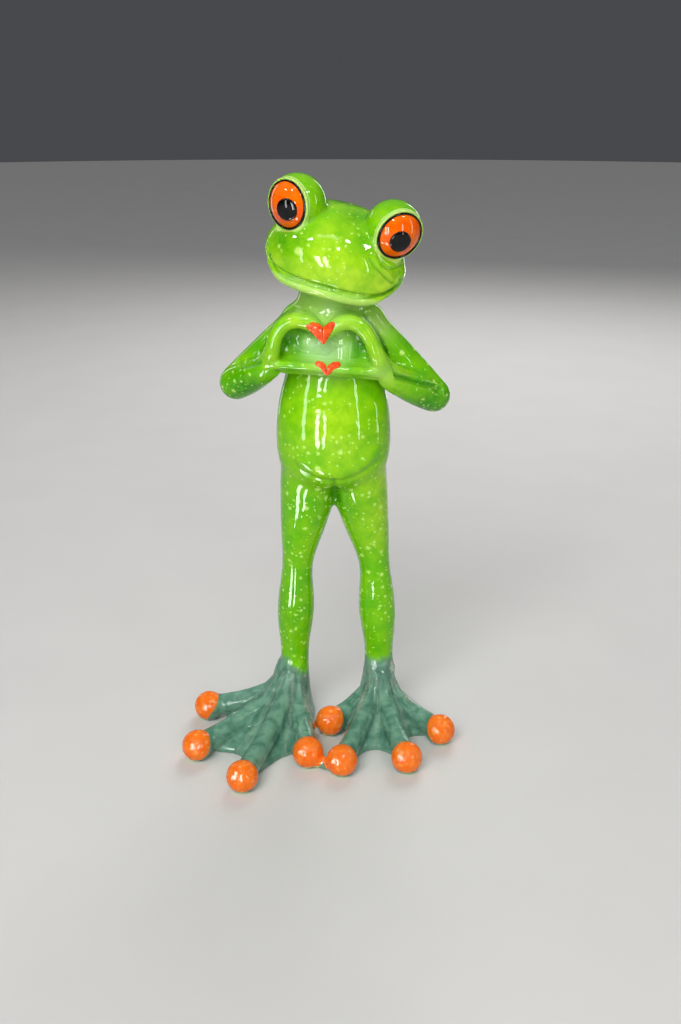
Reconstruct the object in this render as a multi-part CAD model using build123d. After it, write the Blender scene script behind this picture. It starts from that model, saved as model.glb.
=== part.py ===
from build123d import *
import math
import os

# A standing frog ornament, cast in resin and painted, that makes a heart with its hands.
# Sizes are in millimetres. The frog looks along -Y, +X is the frog's own left and +Z is up.
# While it is worked out, X = 0 lies between the legs, Y = 0 is over the ankles and Z = 0 is the table.

# Clearances and cutting
pin_clearance = 0.1
overrun = 120.0

# Legs, from the paint line above the foot to the hip
ankle_line_height = 20.0
leg_length = 70.0
right_ankle_out = 12.2
left_ankle_out = 13.9
hip_out = 6.9
ankle_radius = 4.5
calf_radius = 5.6
knee_radius = 4.7
thigh_radius = 8.5
hip_radius = 7.5
hip_back_swell = 1.2
leg_lean = 3.0
crotch_seam_x = 0.3

# Torso
torso_base_above_line = 59.0
torso_length = 62.0
belly_half_width = 16.3
belly_half_depth = 12.4
chest_half_width = 12.6
neck_half_width = 9.6
torso_set_back = -4.2
neck_set_back = -5.67

# Head, in its own frame before it is tilted
head_above_torso_base = 65.0
head_off_middle = 0.9
head_forward = 8.0
head_roll = 14.5
head_yaw = 4.7
head_half_width = 19.0
head_half_depth = 14.4
head_rise = 13.2
head_drop = 11.2
lip_drop = 6.9
lip_corner_drop = 2.0
lip_groove_width = 0.7
lip_groove_depth = 0.9
lip_corner_angle = 57.0

# Eyes, set in from the sides, the top and the face of the head
eye_side_inset = 6.17
eye_top_inset = 2.53
eye_face_inset = 10.2
eye_socket_flare = 2.5
eye_socket_depth = 9.0
eye_mound_radius = 7.5
eye_splay = 33.4
eye_drop_angle = 12.0
eye_disc_radius = 6.27
eye_rim_width = 0.5
eye_rim_proud = 0.25
eye_rim_rounding = 0.2
eye_dome_height = 2.7
eye_seat_depth = 1.6
pupil_radius = 2.8
pupil_proud = 0.5
right_pupil_drop_angle = 3.5
left_pupil_drop_angle = 5.4
right_pupil_inward_angle = 16.2
left_pupil_inward_angle = 7.2

# Arms
shoulder_out = 6.8
shoulder_below_head = 16.5
upper_arm_radius = 4.9
upper_arm_middle_radius = 5.0
right_elbow_out = 27.2
right_elbow_below_head = 36.0
left_elbow_out = 28.2
left_elbow_below_head = 39.6
elbow_forward = 3.0
elbow_radius = 4.9
forearm_radius = 4.6
right_wrist_out = 17.3
right_wrist_above_elbow = 6.6
left_wrist_out = 15.4
left_wrist_above_elbow = 7.2
wrist_forward = 12.0
wrist_radius = 3.4

# Hands
hand_line_x = -2.2
hand_line_lean = 4.4
hand_front = 16.0
right_hand_rise = 13.6
left_hand_rise = 16.7
finger_half_thickness = 1.95
finger_half_depth = 3.4
fingertip_half_depth = 2.72
thumb_radius = 1.35
thumb_root_radius = 1.75
thumb_forward = 1.15
thumb_below_hand_top = 12.4
palm_height = 4.6
palm_depth = 7.0

# Orange fingertips, two halves of a heart above and of a smaller one below
right_finger_heart_width = 4.9
left_finger_heart_width = 3.2
finger_heart_height = 5.7
finger_heart_below_hand_top = 6.2
right_thumb_heart_width = 3.1
left_thumb_heart_width = 3.7
thumb_heart_height = 4.1
thumb_heart_below_hand_top = 15.0
heart_thickness = 1.8
heart_proud = 0.7
heart_tip_angle = 31.0
heart_notch_angle = 26.6

# Feet: each toe has a turn outwards from straight ahead, and a reach from the ankle
right_toe_turns = [-8.9, 17.8, 46.7, 81.8]
right_toe_reaches = [30.4, 44.2, 38.5, 27.3]
right_web_reaches = [26.5, 30.5, 19.5]
left_toe_turns = [-49.5, -18.6, 12.6, 45.6]
left_toe_reaches = [19.6, 36.1, 33.5, 25.4]
left_web_reaches = [17.5, 23.0, 18.5]
toe_names = ["inner", "second", "third", "outer"]
toe_radius = 3.2
toe_root_height = 9.5
ball_radius = 4.55
ball_half_height = 4.1
pad_cut_back = 0.7
pad_tilt = 32.0
web_edge_height = 1.7
heel_reach = 6.2
heel_side_reach = 8.0
heel_side_turn = 42.0
toe_side_turn = 13.0
toe_side_share = 0.55
toe_bridge_radius = 1.7

# Steel inside: a wire up each leg, a dowel in the neck and a pin in each shoulder
leg_wire_radius = 1.0
leg_wire_start_height = 4.0
leg_wire_into_torso = 12.0
neck_pin_radius = 1.5
neck_pin_length = 16.0
shoulder_pin_radius = 1.0
shoulder_pin_length = 9.0

sides = {"right": -1, "left": 1}
half_turn = math.degrees(math.pi)
ankle_out = {"right": right_ankle_out, "left": left_ankle_out}
finger_heart_widths = {"right": right_finger_heart_width, "left": left_finger_heart_width}
thumb_heart_widths = {"right": right_thumb_heart_width, "left": left_thumb_heart_width}

torso_base_height = ankle_line_height + torso_base_above_line
head_height = torso_base_height + head_above_torso_base


def oval(centre, half_width, half_depth, across=(1, 0, 0), along=(0, 0, 1)):
    """An ellipse on a plane through centre, square to the direction along."""
    return Plane(origin=centre, x_dir=across, z_dir=along) * Ellipse(half_width, half_depth)


def blend(start, end, share):
    return start + (end - start) * share


def half_space(point, outward):
    """A large block that fills everything on the side of point that outward points to."""
    block = Box(overrun, overrun, overrun, align=(Align.CENTER, Align.CENTER, Align.MIN))
    return Plane(origin=point, z_dir=outward) * block


def rod(start, end, radius):
    """A round bar between two points."""
    start = Vector(*start)
    end = Vector(*end)
    run = end - start
    bar = Cylinder(radius, run.length, align=(Align.CENTER, Align.CENTER, Align.MIN))
    return Plane(origin=start, z_dir=run) * bar


def biggest(shape):
    """The largest solid of a cut shape, so that no stray sliver is kept."""
    return max(shape.solids(), key=lambda solid: solid.volume)


def make_torso():
    """Pear-shaped body: round belly, narrow chest and a neck that ends inside the head."""
    # height share, width share of the belly, depth share of the belly, set-back share
    station_shares = [
        (0.00, 0.62, 0.55, 1.05),
        (0.03, 0.80, 0.76, 1.05),
        (0.09, 0.94, 0.94, 1.00),
        (0.22, 1.00, 1.00, 1.00),
        (0.34, 0.97, 0.96, 0.90),
        (0.46, 0.88, 0.86, 0.70),
    ]
    # above the belly the widths follow the chest, and at the top the neck
    chest_shares = [
        (0.58, 1.00, 0.78, 0.55),
        (0.70, 0.96, 0.72, 0.55),
        (0.79, 0.88, 0.66, 0.75),
    ]
    neck_shares = [
        (0.87, 1.00, 0.82, 1.05),
        (0.94, 0.95, 0.80, neck_set_back / torso_set_back),
        (1.00, 0.92, 0.78, 1.60),
    ]
    faces = []
    for rise, wide, deep, back in station_shares:
        place = (0, torso_set_back * back, torso_base_height + torso_length * rise)
        faces.append(oval(place, belly_half_width * wide, belly_half_depth * deep))
    for rise, wide, deep, back in chest_shares:
        place = (0, torso_set_back * back, torso_base_height + torso_length * rise)
        faces.append(oval(place, chest_half_width * wide, chest_half_width * deep))
    for rise, wide, deep, back in neck_shares:
        place = (0, torso_set_back * back, torso_base_height + torso_length * rise)
        faces.append(oval(place, neck_half_width * wide, neck_half_width * deep))
    return loft(faces)


def make_leg(side):
    """One leg, from the paint line at the ankle up into the hip."""
    sign = sides[side]
    # height share, share of the way from hip to ankle sideways, radius, lean share, depth share
    station_shares = [
        (0.00, 1.00, ankle_radius, 0.00, 1.00),
        (0.06, 0.99, ankle_radius, 0.02, 1.01),
        (0.12, 0.97, blend(ankle_radius, calf_radius, 0.40), 0.05, 1.03),
        (0.27, 0.88, calf_radius, 0.10, 1.05),
        (0.45, 0.76, knee_radius, 0.50, 1.05),
        (0.60, 0.47, blend(knee_radius, thigh_radius, 0.40), 0.75, 1.00),
        (0.69, 0.28, blend(knee_radius, thigh_radius, 0.68), 0.90, 1.02),
        (0.78, 0.11, blend(knee_radius, thigh_radius, 0.92), 1.00, 1.05),
        (0.89, 0.00, thigh_radius, 1.00, 1.12),
        (1.00, 0.00, hip_radius, 1.00, 1.05),
    ]
    faces = []
    for rise, out, radius, lean, deep in station_shares:
        x = sign * blend(hip_out, ankle_out[side], out)
        y = -leg_lean * lean + hip_back_swell * rise * rise
        faces.append(oval((x, y, ankle_line_height + leg_length * rise), radius, radius * deep))
    return loft(faces)


def foot_outline(side, spread_share, height):
    """The webbed outline of a foot, drawn in towards the ankle by spread_share."""
    sign = sides[side]
    turns = right_toe_turns if side == "right" else left_toe_turns
    reaches = right_toe_reaches if side == "right" else left_toe_reaches
    webs = right_web_reaches if side == "right" else left_web_reaches
    polar = []
    for number, (turn, reach) in enumerate(zip(turns, reaches)):
        polar.append((turn, reach - ball_radius))
        if number < len(webs):
            polar.append(((turn + turns[number + 1]) / 2, webs[number]))
    polar.append((turns[-1] + toe_side_turn, reaches[-1] * toe_side_share))
    polar.append((turns[-1] + heel_side_turn, heel_side_reach))
    back_turn = (turns[0] + turns[-1]) / 2 + half_turn
    polar.append((back_turn, heel_reach))
    polar.append((turns[0] - heel_side_turn, heel_side_reach))
    polar.append((turns[0] - toe_side_turn, reaches[0] * toe_side_share))
    points = []
    for turn, reach in polar:
        drawn_in = blend(ankle_radius, reach, spread_share)
        angle = math.radians(turn)
        x = sign * (ankle_out[side] + drawn_in * math.sin(angle))
        points.append((x, -drawn_in * math.cos(angle), height))
    return make_face(Spline(*points, periodic=True))


def toe_places(side):
    """Name, ball centre and outward direction of each toe."""
    sign = sides[side]
    turns = right_toe_turns if side == "right" else left_toe_turns
    reaches = right_toe_reaches if side == "right" else left_toe_reaches
    places = []
    for name, turn, reach in zip(toe_names, turns, reaches):
        angle = math.radians(turn)
        outward = Vector(sign * math.sin(angle), -math.cos(angle), 0)
        ankle = Vector(sign * ankle_out[side], 0, 0)
        places.append((name, ankle + outward * reach + Vector(0, 0, ball_half_height), outward))
    return places


def make_foot(side):
    """A webbed foot with four toes; returns the foot and its orange pads by name."""
    sign = sides[side]
    # spread share and height share of the ankle line, from the web's edge up to the ankle
    slope_shares = [(1.00, 0.00), (0.80, 0.11), (0.56, 0.25), (0.33, 0.44), (0.14, 0.68)]
    rise = ankle_line_height - web_edge_height
    sole = foot_outline(side, 1.0, 0)
    foot = extrude(sole, web_edge_height)
    faces = [foot_outline(side, spread, web_edge_height + rise * up) for spread, up in slope_shares]
    faces.append(foot_outline(side, 0.0, ankle_line_height))
    foot += loft(faces)
    ankle = Vector(sign * ankle_out[side], 0, 0)
    table = half_space((0, 0, 0), (0, 0, -1))
    pads = {}
    for name, ball_centre, outward in toe_places(side):
        reach = (ball_centre - ankle - Vector(0, 0, ball_half_height)).length
        # share of the reach, share of the fall from the root to the ball, share of the toe's radius
        toe_shares = [(0.12, 0.00, 0.95), (0.35, 0.42, 1.00), (0.62, 0.80, 0.97), (1.00, 1.00, 1.05)]
        faces = []
        for along, fall, thick in toe_shares:
            height = blend(toe_root_height, ball_half_height, fall)
            place = ankle + outward * (reach * along) + Vector(0, 0, height)
            across = Vector(-outward.Y, outward.X, 0)
            faces.append(oval(place, toe_radius * thick, toe_radius * thick, across, outward))
        ball = Pos(*ball_centre) * Sphere(ball_radius)
        tilt = math.radians(pad_tilt)
        pad_way = outward * math.cos(tilt) + Vector(0, 0, math.sin(tilt))
        front = half_space(ball_centre - pad_way * pad_cut_back, pad_way)
        pads[name] = biggest((ball & front) - table)
        foot += loft(faces) - front
        foot += ball - front
    foot -= table
    for pad in pads.values():
        foot -= pad
    return biggest(foot), pads


head_place = (
    Pos(head_off_middle, -head_forward, head_height)
    * Rot(0, head_roll, 0)
    * Rot(0, 0, -head_yaw)
)


def make_head():
    """Wide flattened head with two eye mounds and a lip groove, in its own level frame."""
    # height share (of the rise above, of the drop below), width share, depth share, set-back share
    low_shares = [
        (-1.00, 0.24, 0.24, 0.00),
        (-0.93, 0.54, 0.52, 0.00),
        (-0.76, 0.77, 0.76, 0.00),
        (-0.54, 0.91, 0.90, 0.00),
        (-0.18, 1.00, 1.00, 0.00),
    ]
    high_shares = [
        (0.12, 0.98, 1.00, 0.01),
        (0.38, 0.89, 0.93, 0.04),
        (0.68, 0.72, 0.78, 0.12),
        (0.89, 0.50, 0.54, 0.20),
        (0.97, 0.32, 0.35, 0.24),
        (1.00, 0.12, 0.14, 0.25),
    ]
    rows = [(rise * head_drop, wide, deep, back) for rise, wide, deep, back in low_shares]
    rows += [(rise * head_rise, wide, deep, back) for rise, wide, deep, back in high_shares]

    def skull(inset):
        faces = []
        for height, wide, deep, back in rows:
            faces.append(oval((0, head_half_depth * back, height),
                              head_half_width * wide - inset, head_half_depth * deep - inset))
        return loft(faces)

    head = skull(0)
    # the lips part along a band that rises towards the corners of the mouth
    middle = Vector(0, 0, -lip_drop)
    corner_right = Vector(-head_half_width, 0, -lip_corner_drop)
    corner_left = Vector(head_half_width, 0, -lip_corner_drop)
    steep = math.radians(lip_corner_angle)
    down = (math.cos(steep), 0, -math.sin(steep))
    up = (math.cos(steep), 0, math.sin(steep))
    lip_line = Spline(corner_right, middle, corner_left, tangents=[down, up])
    upper = lip_line.moved(Location((0, 0, lip_groove_width)))
    band_face = make_face([lip_line, upper, Line(lip_line @ 0, upper @ 0), Line(lip_line @ 1, upper @ 1)])
    band = extrude(band_face, overrun, dir=(0, -1, 0))
    head -= band - skull(lip_groove_depth)
    return biggest(head)


def eye_frame(side):
    """Where an eye sits in the head's own frame: its Z looks along the gaze and its Y up."""
    sign = sides[side]
    splay = math.radians(eye_splay)
    drop = math.radians(eye_drop_angle)
    across = (math.cos(splay), sign * math.sin(splay), 0)
    gaze = (sign * math.sin(splay) * math.cos(drop), -math.cos(splay) * math.cos(drop), -math.sin(drop))
    centre = (
        sign * (head_half_width - eye_side_inset),
        eye_face_inset - head_half_depth,
        head_rise - eye_top_inset)
    return Plane(origin=centre, x_dir=across, z_dir=gaze)


def make_eye(side):
    """Mound, iris, rim and pupil of one eye, all in the head's own frame."""
    frame = eye_frame(side)
    disc_height = math.sqrt(eye_mound_radius ** 2 - eye_disc_radius ** 2)
    mound = Sphere(eye_mound_radius) - half_space((0, 0, disc_height), (0, 0, 1))
    iris_radius = eye_disc_radius - eye_rim_width
    dome_radius = (iris_radius ** 2 + eye_dome_height ** 2) / (2 * eye_dome_height)
    dome_centre = disc_height + eye_dome_height - dome_radius
    plug = Pos(0, 0, disc_height - eye_seat_depth) * Cylinder(
        iris_radius, eye_seat_depth + eye_dome_height, align=(Align.CENTER, Align.CENTER, Align.MIN))
    iris = plug & (Pos(0, 0, dome_centre) * Sphere(dome_radius))
    ring_height = eye_seat_depth + eye_rim_proud
    ring = Pos(0, 0, disc_height - eye_seat_depth) * (
        Cylinder(eye_disc_radius, ring_height, align=(Align.CENTER, Align.CENTER, Align.MIN))
        - Cylinder(iris_radius, ring_height, align=(Align.CENTER, Align.CENTER, Align.MIN)))
    outer_edges = ring.edges().filter_by(GeomType.CIRCLE).group_by(Axis.Z)[-1]
    ring = fillet(outer_edges, eye_rim_rounding)
    inward = right_pupil_inward_angle if side == "right" else left_pupil_inward_angle
    turn_in = math.radians(inward)
    drop = math.radians(right_pupil_drop_angle if side == "right" else left_pupil_drop_angle)
    way = Vector(
        -sides[side] * math.sin(turn_in) * math.cos(drop),
        -math.sin(drop),
        math.cos(turn_in) * math.cos(drop))
    pupil_dome_radius = (pupil_radius ** 2 + pupil_proud ** 2) / (2 * pupil_proud)
    start = dome_radius - eye_seat_depth
    top = dome_radius + pupil_proud
    lens = Pos(0, 0, start) * Cylinder(
        pupil_radius, top - start, align=(Align.CENTER, Align.CENTER, Align.MIN))
    lens &= Pos(0, 0, top - pupil_dome_radius) * Sphere(pupil_dome_radius)
    pupil = Plane(origin=(0, 0, dome_centre), z_dir=way) * lens
    iris -= pupil
    # nothing of the head stands in front of the disc: the way out of the socket opens as a cone
    way_out = Pos(0, 0, disc_height) * Cone(
        eye_disc_radius, eye_disc_radius + eye_socket_flare, eye_socket_depth,
        align=(Align.CENTER, Align.CENTER, Align.MIN))
    pieces = {"mound": mound, "iris": iris, "rim": ring, "pupil": pupil, "way_out": way_out}
    return {name: frame * piece for name, piece in pieces.items()}


def arm_joints(side):
    """Shoulder, elbow and wrist centres of one arm."""
    sign = sides[side]
    elbow_out = right_elbow_out if side == "right" else left_elbow_out
    elbow_drop = right_elbow_below_head if side == "right" else left_elbow_below_head
    wrist_out = right_wrist_out if side == "right" else left_wrist_out
    wrist_rise = right_wrist_above_elbow if side == "right" else left_wrist_above_elbow
    shoulder = Vector(sign * shoulder_out, torso_set_back / 2, head_height - shoulder_below_head)
    elbow = Vector(sign * elbow_out, -elbow_forward, head_height - elbow_drop)
    wrist = Vector(sign * wrist_out, -wrist_forward, elbow.Z + wrist_rise)
    return shoulder, elbow, wrist


def limb(start, end, radii):
    """A straight round limb whose radius follows the list from start to end."""
    run = end - start
    faces = []
    for number, radius in enumerate(radii):
        place = start + run * (number / (len(radii) - 1))
        faces.append(oval(place, radius, radius, (0, 1, 0), run))
    return loft(faces)


def make_arm(side):
    """Upper arm and forearm with a rounded shoulder and elbow."""
    shoulder, elbow, wrist = arm_joints(side)
    arm = limb(shoulder, elbow, [upper_arm_radius, upper_arm_middle_radius, elbow_radius])
    arm += limb(elbow, wrist, [elbow_radius, forearm_radius, wrist_radius])
    arm += Pos(*shoulder) * Sphere(upper_arm_radius)
    arm += Pos(*elbow) * Sphere(elbow_radius)
    arm += Pos(*wrist) * Sphere(wrist_radius)
    return arm


def hand_line(height):
    """The point at this height on the leaning line where the two hands meet."""
    lean = math.tan(math.radians(hand_line_lean))
    return hand_line_x - (height - hand_middle_height) * lean


hand_top_height = max(
    arm_joints("right")[2].Z + right_hand_rise, arm_joints("left")[2].Z + left_hand_rise)
hand_middle_height = hand_top_height - thumb_below_hand_top / 2


def make_hand(side):
    """Fingers arched over to the middle, a thumb under them and the palm between."""
    sign = sides[side]
    wrist = arm_joints(side)[2]
    rise = right_hand_rise if side == "right" else left_hand_rise
    # share of the way from the middle to the wrist, share of the rise, thickness and depth shares
    right_arch_shares = [
        (1.00, 0.00, 1.68, 1.00), (0.96, 0.22, 1.45, 1.05), (0.93, 0.45, 1.15, 1.08),
        (0.89, 0.64, 1.00, 1.05), (0.81, 0.81, 0.98, 1.02), (0.67, 0.94, 0.98, 1.00),
        (0.48, 1.00, 1.00, 1.00), (0.29, 0.98, 1.00, 0.95), (0.12, 0.89, 1.00, 0.88),
        (0.00, 0.74, 0.92, 0.80),
    ]
    left_arch_shares = [
        (1.00, 0.00, 1.68, 1.00), (0.86, 0.22, 1.45, 1.05), (0.77, 0.42, 1.20, 1.08),
        (0.71, 0.62, 1.00, 1.05), (0.66, 0.79, 0.98, 1.02), (0.57, 0.92, 0.98, 1.00),
        (0.42, 0.99, 1.00, 1.00), (0.25, 1.00, 1.00, 0.95), (0.10, 0.92, 1.00, 0.88),
        (0.00, 0.78, 0.92, 0.80),
    ]
    arch_shares = right_arch_shares if side == "right" else left_arch_shares
    path = []
    for out, up, thick, deep in arch_shares:
        height = wrist.Z + rise * up
        x = blend(hand_line(height), wrist.X, out)
        y = -blend(hand_front, wrist_forward, out ** 3)
        path.append((Vector(x, y, height), thick, deep))
    faces = []
    for number, (place, thick, deep) in enumerate(path):
        before = path[max(number - 1, 0)][0]
        after = path[min(number + 1, len(path) - 1)][0]
        faces.append(oval(place, finger_half_depth * deep, finger_half_thickness * thick,
                          (0, 1, 0), after - before))
    hand = loft(faces)
    tip = path[-1][0]
    hand += Pos(*tip) * Sphere(finger_half_thickness)
    thumb_height = hand_top_height - thumb_below_hand_top
    thumb_tip = Vector(hand_line(thumb_height), -hand_front - thumb_forward, thumb_height)
    thumb_root = Vector(wrist.X, -wrist_forward - thumb_root_radius, thumb_height - thumb_radius)
    hand += limb(thumb_root, thumb_tip, [thumb_root_radius, thumb_radius])
    hand += Pos(*thumb_tip) * Sphere(thumb_radius)
    # the palm slopes up and back from the thumb to the chest
    low = thumb_height - thumb_radius
    front = -hand_front
    slope = make_face(Polyline(
        (0, front, low), (0, front, thumb_height + thumb_radius / 2),
        (0, front + palm_depth, low + palm_height + thumb_radius),
        (0, front + palm_depth, low), close=True))
    palm_width = abs(wrist.X - hand_line(thumb_height)) - finger_half_thickness
    palm = extrude(slope, palm_width, dir=(sign, 0, 0))
    hand += Pos(hand_line(thumb_height), 0, 0) * palm
    meeting = Vector(hand_line(hand_middle_height), 0, hand_middle_height)
    lean = math.radians(hand_line_lean)
    outward = Vector(sign * math.cos(lean), 0, sign * math.sin(lean))
    hand &= half_space(meeting, outward)
    return hand


def make_heart_half(side, width, height, below_top):
    """Half of a painted heart, seated in the fingertips of one hand."""
    sign = sides[side]
    tip_height = hand_top_height - below_top
    tip_angle = math.radians(heart_tip_angle)
    notch_angle = math.radians(heart_notch_angle)
    # share of the width and share of the height
    outline_shares = [(0.00, 0.00), (0.62, 0.44), (1.00, 0.78), (0.66, 1.00), (0.00, 0.74)]
    points = [(sign * out * width, 0, up * height) for out, up in outline_shares]
    leave = (sign * math.cos(tip_angle), 0, math.sin(tip_angle))
    arrive = (-sign * math.cos(notch_angle), 0, -math.sin(notch_angle))
    edge = Spline(*points, tangents=[leave, arrive])
    face = make_face([edge, Line(points[-1], points[0])])
    front = hand_front + fingertip_half_depth + heart_proud
    half = extrude(face, heart_thickness, dir=(0, 1, 0))
    lean = Rot(0, -hand_line_lean, 0)
    return Pos(hand_line(tip_height), -front, tip_height) * lean * half


torso = make_torso()
head_parts = {side: make_eye(side) for side in sides}
head = make_head()
for side in sides:
    eye = head_parts[side]
    head += eye["mound"]
for side in sides:
    eye = head_parts[side]
    for name in ("way_out", "iris", "rim", "pupil"):
        head -= eye[name]
head = head_place * biggest(head)
head = biggest(head - torso)

nodes = {}
for side in sides:
    for name, label in (("iris", "eye_iris"), ("rim", "eye_rim"), ("pupil", "pupil")):
        nodes[f"{side}_{label}"] = head_place * head_parts[side][name]

arms = {side: make_arm(side) for side in sides}
hands = {side: make_hand(side) for side in sides}
hearts = {}
for side in sides:
    hearts[side] = {
        "finger_pad": make_heart_half(
            side, finger_heart_widths[side], finger_heart_height, finger_heart_below_hand_top),
        "thumb_pad": make_heart_half(
            side, thumb_heart_widths[side], thumb_heart_height, thumb_heart_below_hand_top),
    }

# Pins and wires, and the bores that take them
neck_low = Vector(0, neck_set_back, torso_base_height + torso_length - neck_pin_length / 2)
neck_high = neck_low + Vector(0, 0, neck_pin_length)
nodes["neck_pin"] = rod(neck_low, neck_high, neck_pin_radius)
neck_bore = rod(neck_low, neck_high, neck_pin_radius + pin_clearance)
torso -= neck_bore
head -= neck_bore

feet = {side: make_foot(side) for side in sides}
# a small bridge of resin joins the right foot's inner toe to the left foot's second toe
right_ball = toe_places("right")[0][1]
left_ball = toe_places("left")[1][1]
low = Vector(0, 0, toe_bridge_radius - ball_half_height)
bridge = rod(right_ball + low, left_ball + low, toe_bridge_radius) - feet["left"][0]
for side, toe in (("right", "inner"), ("left", "second")):
    bridge -= feet[side][1][toe]
feet["right"] = (biggest(feet["right"][0] + bridge), feet["right"][1])

for side in sides:
    sign = sides[side]
    foot, pads = feet[side]
    leg = make_leg(side)
    seam = half_space((crotch_seam_x, 0, 0), (sign, 0, 0))
    seam = Pos(0, 0, ankle_line_height + leg_length / 2) * seam
    leg = biggest((leg & seam) - torso)
    wire_low = Vector(sign * ankle_out[side], 0, leg_wire_start_height)
    wire_high = Vector(sign * hip_out, -leg_lean, torso_base_height + leg_wire_into_torso)
    nodes[f"{side}_leg_wire"] = rod(wire_low, wire_high, leg_wire_radius)
    wire_bore = rod(wire_low, wire_high, leg_wire_radius + pin_clearance)
    leg -= wire_bore
    foot -= wire_bore
    torso -= wire_bore
    nodes[f"{side}_leg"] = leg
    nodes[f"{side}_foot"] = foot
    for name, pad in pads.items():
        nodes[f"{side}_{name}_toe_pad"] = pad

    shoulder, elbow, wrist = arm_joints(side)
    arm = biggest(arms[side] - torso - head)
    hand = biggest(hands[side] - torso - arms[side] - head)
    for name, pad in hearts[side].items():
        hand -= pad
        nodes[f"{side}_{name}"] = pad
    pin_way = (elbow - shoulder).normalized()
    pin_start = shoulder - pin_way * (shoulder_pin_length / 2)
    pin_end = shoulder + pin_way * (shoulder_pin_length / 2)
    nodes[f"{side}_shoulder_pin"] = rod(pin_start, pin_end, shoulder_pin_radius)
    pin_bore = rod(pin_start, pin_end, shoulder_pin_radius + pin_clearance)
    torso -= pin_bore
    nodes[f"{side}_arm"] = biggest(arm - pin_bore)
    nodes[f"{side}_hand"] = biggest(hand)

nodes["torso"] = biggest(torso)
nodes["head"] = biggest(head)

# The origin goes to the middle of the footprint, on the table
everything = Compound(children=[Compound(shape.solids()) for shape in nodes.values()])
box = everything.bounding_box()
to_origin = Pos(-box.center().X, -box.center().Y, -box.min.Z)

os.makedirs("parts", exist_ok=True)
for name, shape in nodes.items():
    export_step(to_origin * shape, f"parts/{name}.step")
print("nodes:", len(nodes))
print("overall size:", [round(side, 2) for side in (box.size.X, box.size.Y, box.size.Z)])
print("shift to the origin:", [round(step, 3) for step in (-box.center().X, -box.center().Y, -box.min.Z)])
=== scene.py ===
# %% [markdown]
# # A frog that makes a heart with its hands
#
# The real thing is a small cast ornament: polyresin poured in a mould, airbrushed in greens, touched up
# with a brush on the toes, eyes and fingertips, and dipped in clear gloss lacquer. So nothing on it is
# sharp. Every joint between limb and body is a soft fillet, and lacquer fills the creases.
#
# It could be made limb by limb, but then every joint would show as a hard line. A sculptor's way suits it
# better: lumps of clay are pressed together, blended, given creases with a tool, and painted as one skin.
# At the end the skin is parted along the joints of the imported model, so each casting is a piece again.

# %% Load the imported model, which is the fixed frame for everything here
import math

import bpy
import numpy as np
from mathutils import Matrix, Vector, noise
from mathutils.bvhtree import BVHTree


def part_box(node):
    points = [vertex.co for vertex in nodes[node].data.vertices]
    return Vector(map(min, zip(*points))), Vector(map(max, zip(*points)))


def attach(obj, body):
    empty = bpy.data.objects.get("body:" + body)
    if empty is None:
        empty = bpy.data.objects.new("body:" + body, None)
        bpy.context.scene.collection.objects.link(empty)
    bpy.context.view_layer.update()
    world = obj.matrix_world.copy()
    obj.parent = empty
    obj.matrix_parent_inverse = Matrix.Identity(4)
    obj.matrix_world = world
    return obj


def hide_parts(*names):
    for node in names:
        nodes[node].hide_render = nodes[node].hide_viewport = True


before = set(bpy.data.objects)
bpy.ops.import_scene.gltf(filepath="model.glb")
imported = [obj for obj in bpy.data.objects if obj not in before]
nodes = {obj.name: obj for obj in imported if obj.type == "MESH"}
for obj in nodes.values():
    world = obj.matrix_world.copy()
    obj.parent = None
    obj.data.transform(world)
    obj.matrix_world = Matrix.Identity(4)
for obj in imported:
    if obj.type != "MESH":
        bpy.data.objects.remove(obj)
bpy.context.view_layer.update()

# %% [markdown]
# ## Measuring in millimetres
#
# A figure this small is easiest to think about in millimetres, from a point on the table under the ankles,
# between the legs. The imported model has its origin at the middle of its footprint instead, so one matrix
# takes figure millimetres to Blender's metres. The neck dowel stands on the figure's middle line, which
# tells where that is. The head is tilted, so it has a matrix of its own, and so has each eye.

# %% Where the figure, the head and the eyes are
mm = 0.001
dowel_behind_ankles = -5.67
dowel_low, dowel_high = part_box("neck_pin")
dowel = (dowel_low + dowel_high) / 2
shift = Vector((dowel.x, dowel.y - dowel_behind_ankles * mm, 0))
figure = Matrix.Translation(shift) @ Matrix.Scale(mm, 4)

head_centre = Vector((0.9, -8.0, 144.0))
head_roll = math.radians(14.5)
head_yaw = math.radians(-4.7)
head = (figure @ Matrix.Translation(head_centre)
        @ Matrix.Rotation(head_roll, 4, "Y") @ Matrix.Rotation(head_yaw, 4, "Z"))

eye_centre = Vector((12.83, -4.2, 10.67))
eye_splay = math.radians(33.4)
eye_drop = math.radians(12.0)
mound_radius = 7.5
disc_radius = 6.27
disc_height = math.sqrt(mound_radius ** 2 - disc_radius ** 2)
sides = {"right": -1, "left": 1}


def eye_frame(sign):
    """The frame of one eye: its Z looks along the gaze and its Y up."""
    across = Vector((math.cos(eye_splay), sign * math.sin(eye_splay), 0))
    level = Vector((sign * math.sin(eye_splay), -math.cos(eye_splay), 0))
    gaze = level * math.cos(eye_drop) + Vector((0, 0, -math.sin(eye_drop)))
    turn = Matrix((across, gaze.cross(across), gaze)).transposed().to_4x4()
    place = Vector((sign * eye_centre.x, eye_centre.y, eye_centre.z))
    return head @ Matrix.Translation(place) @ turn


eyes = {side: eye_frame(sign) for side, sign in sides.items()}
print("figure's own origin in mm:", [round(c / mm, 2) for c in shift])

# %% [markdown]
# ## The camera
#
# The photograph was taken from a little above, about 31 cm in front of the ankles, looking 21 degrees down.

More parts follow.
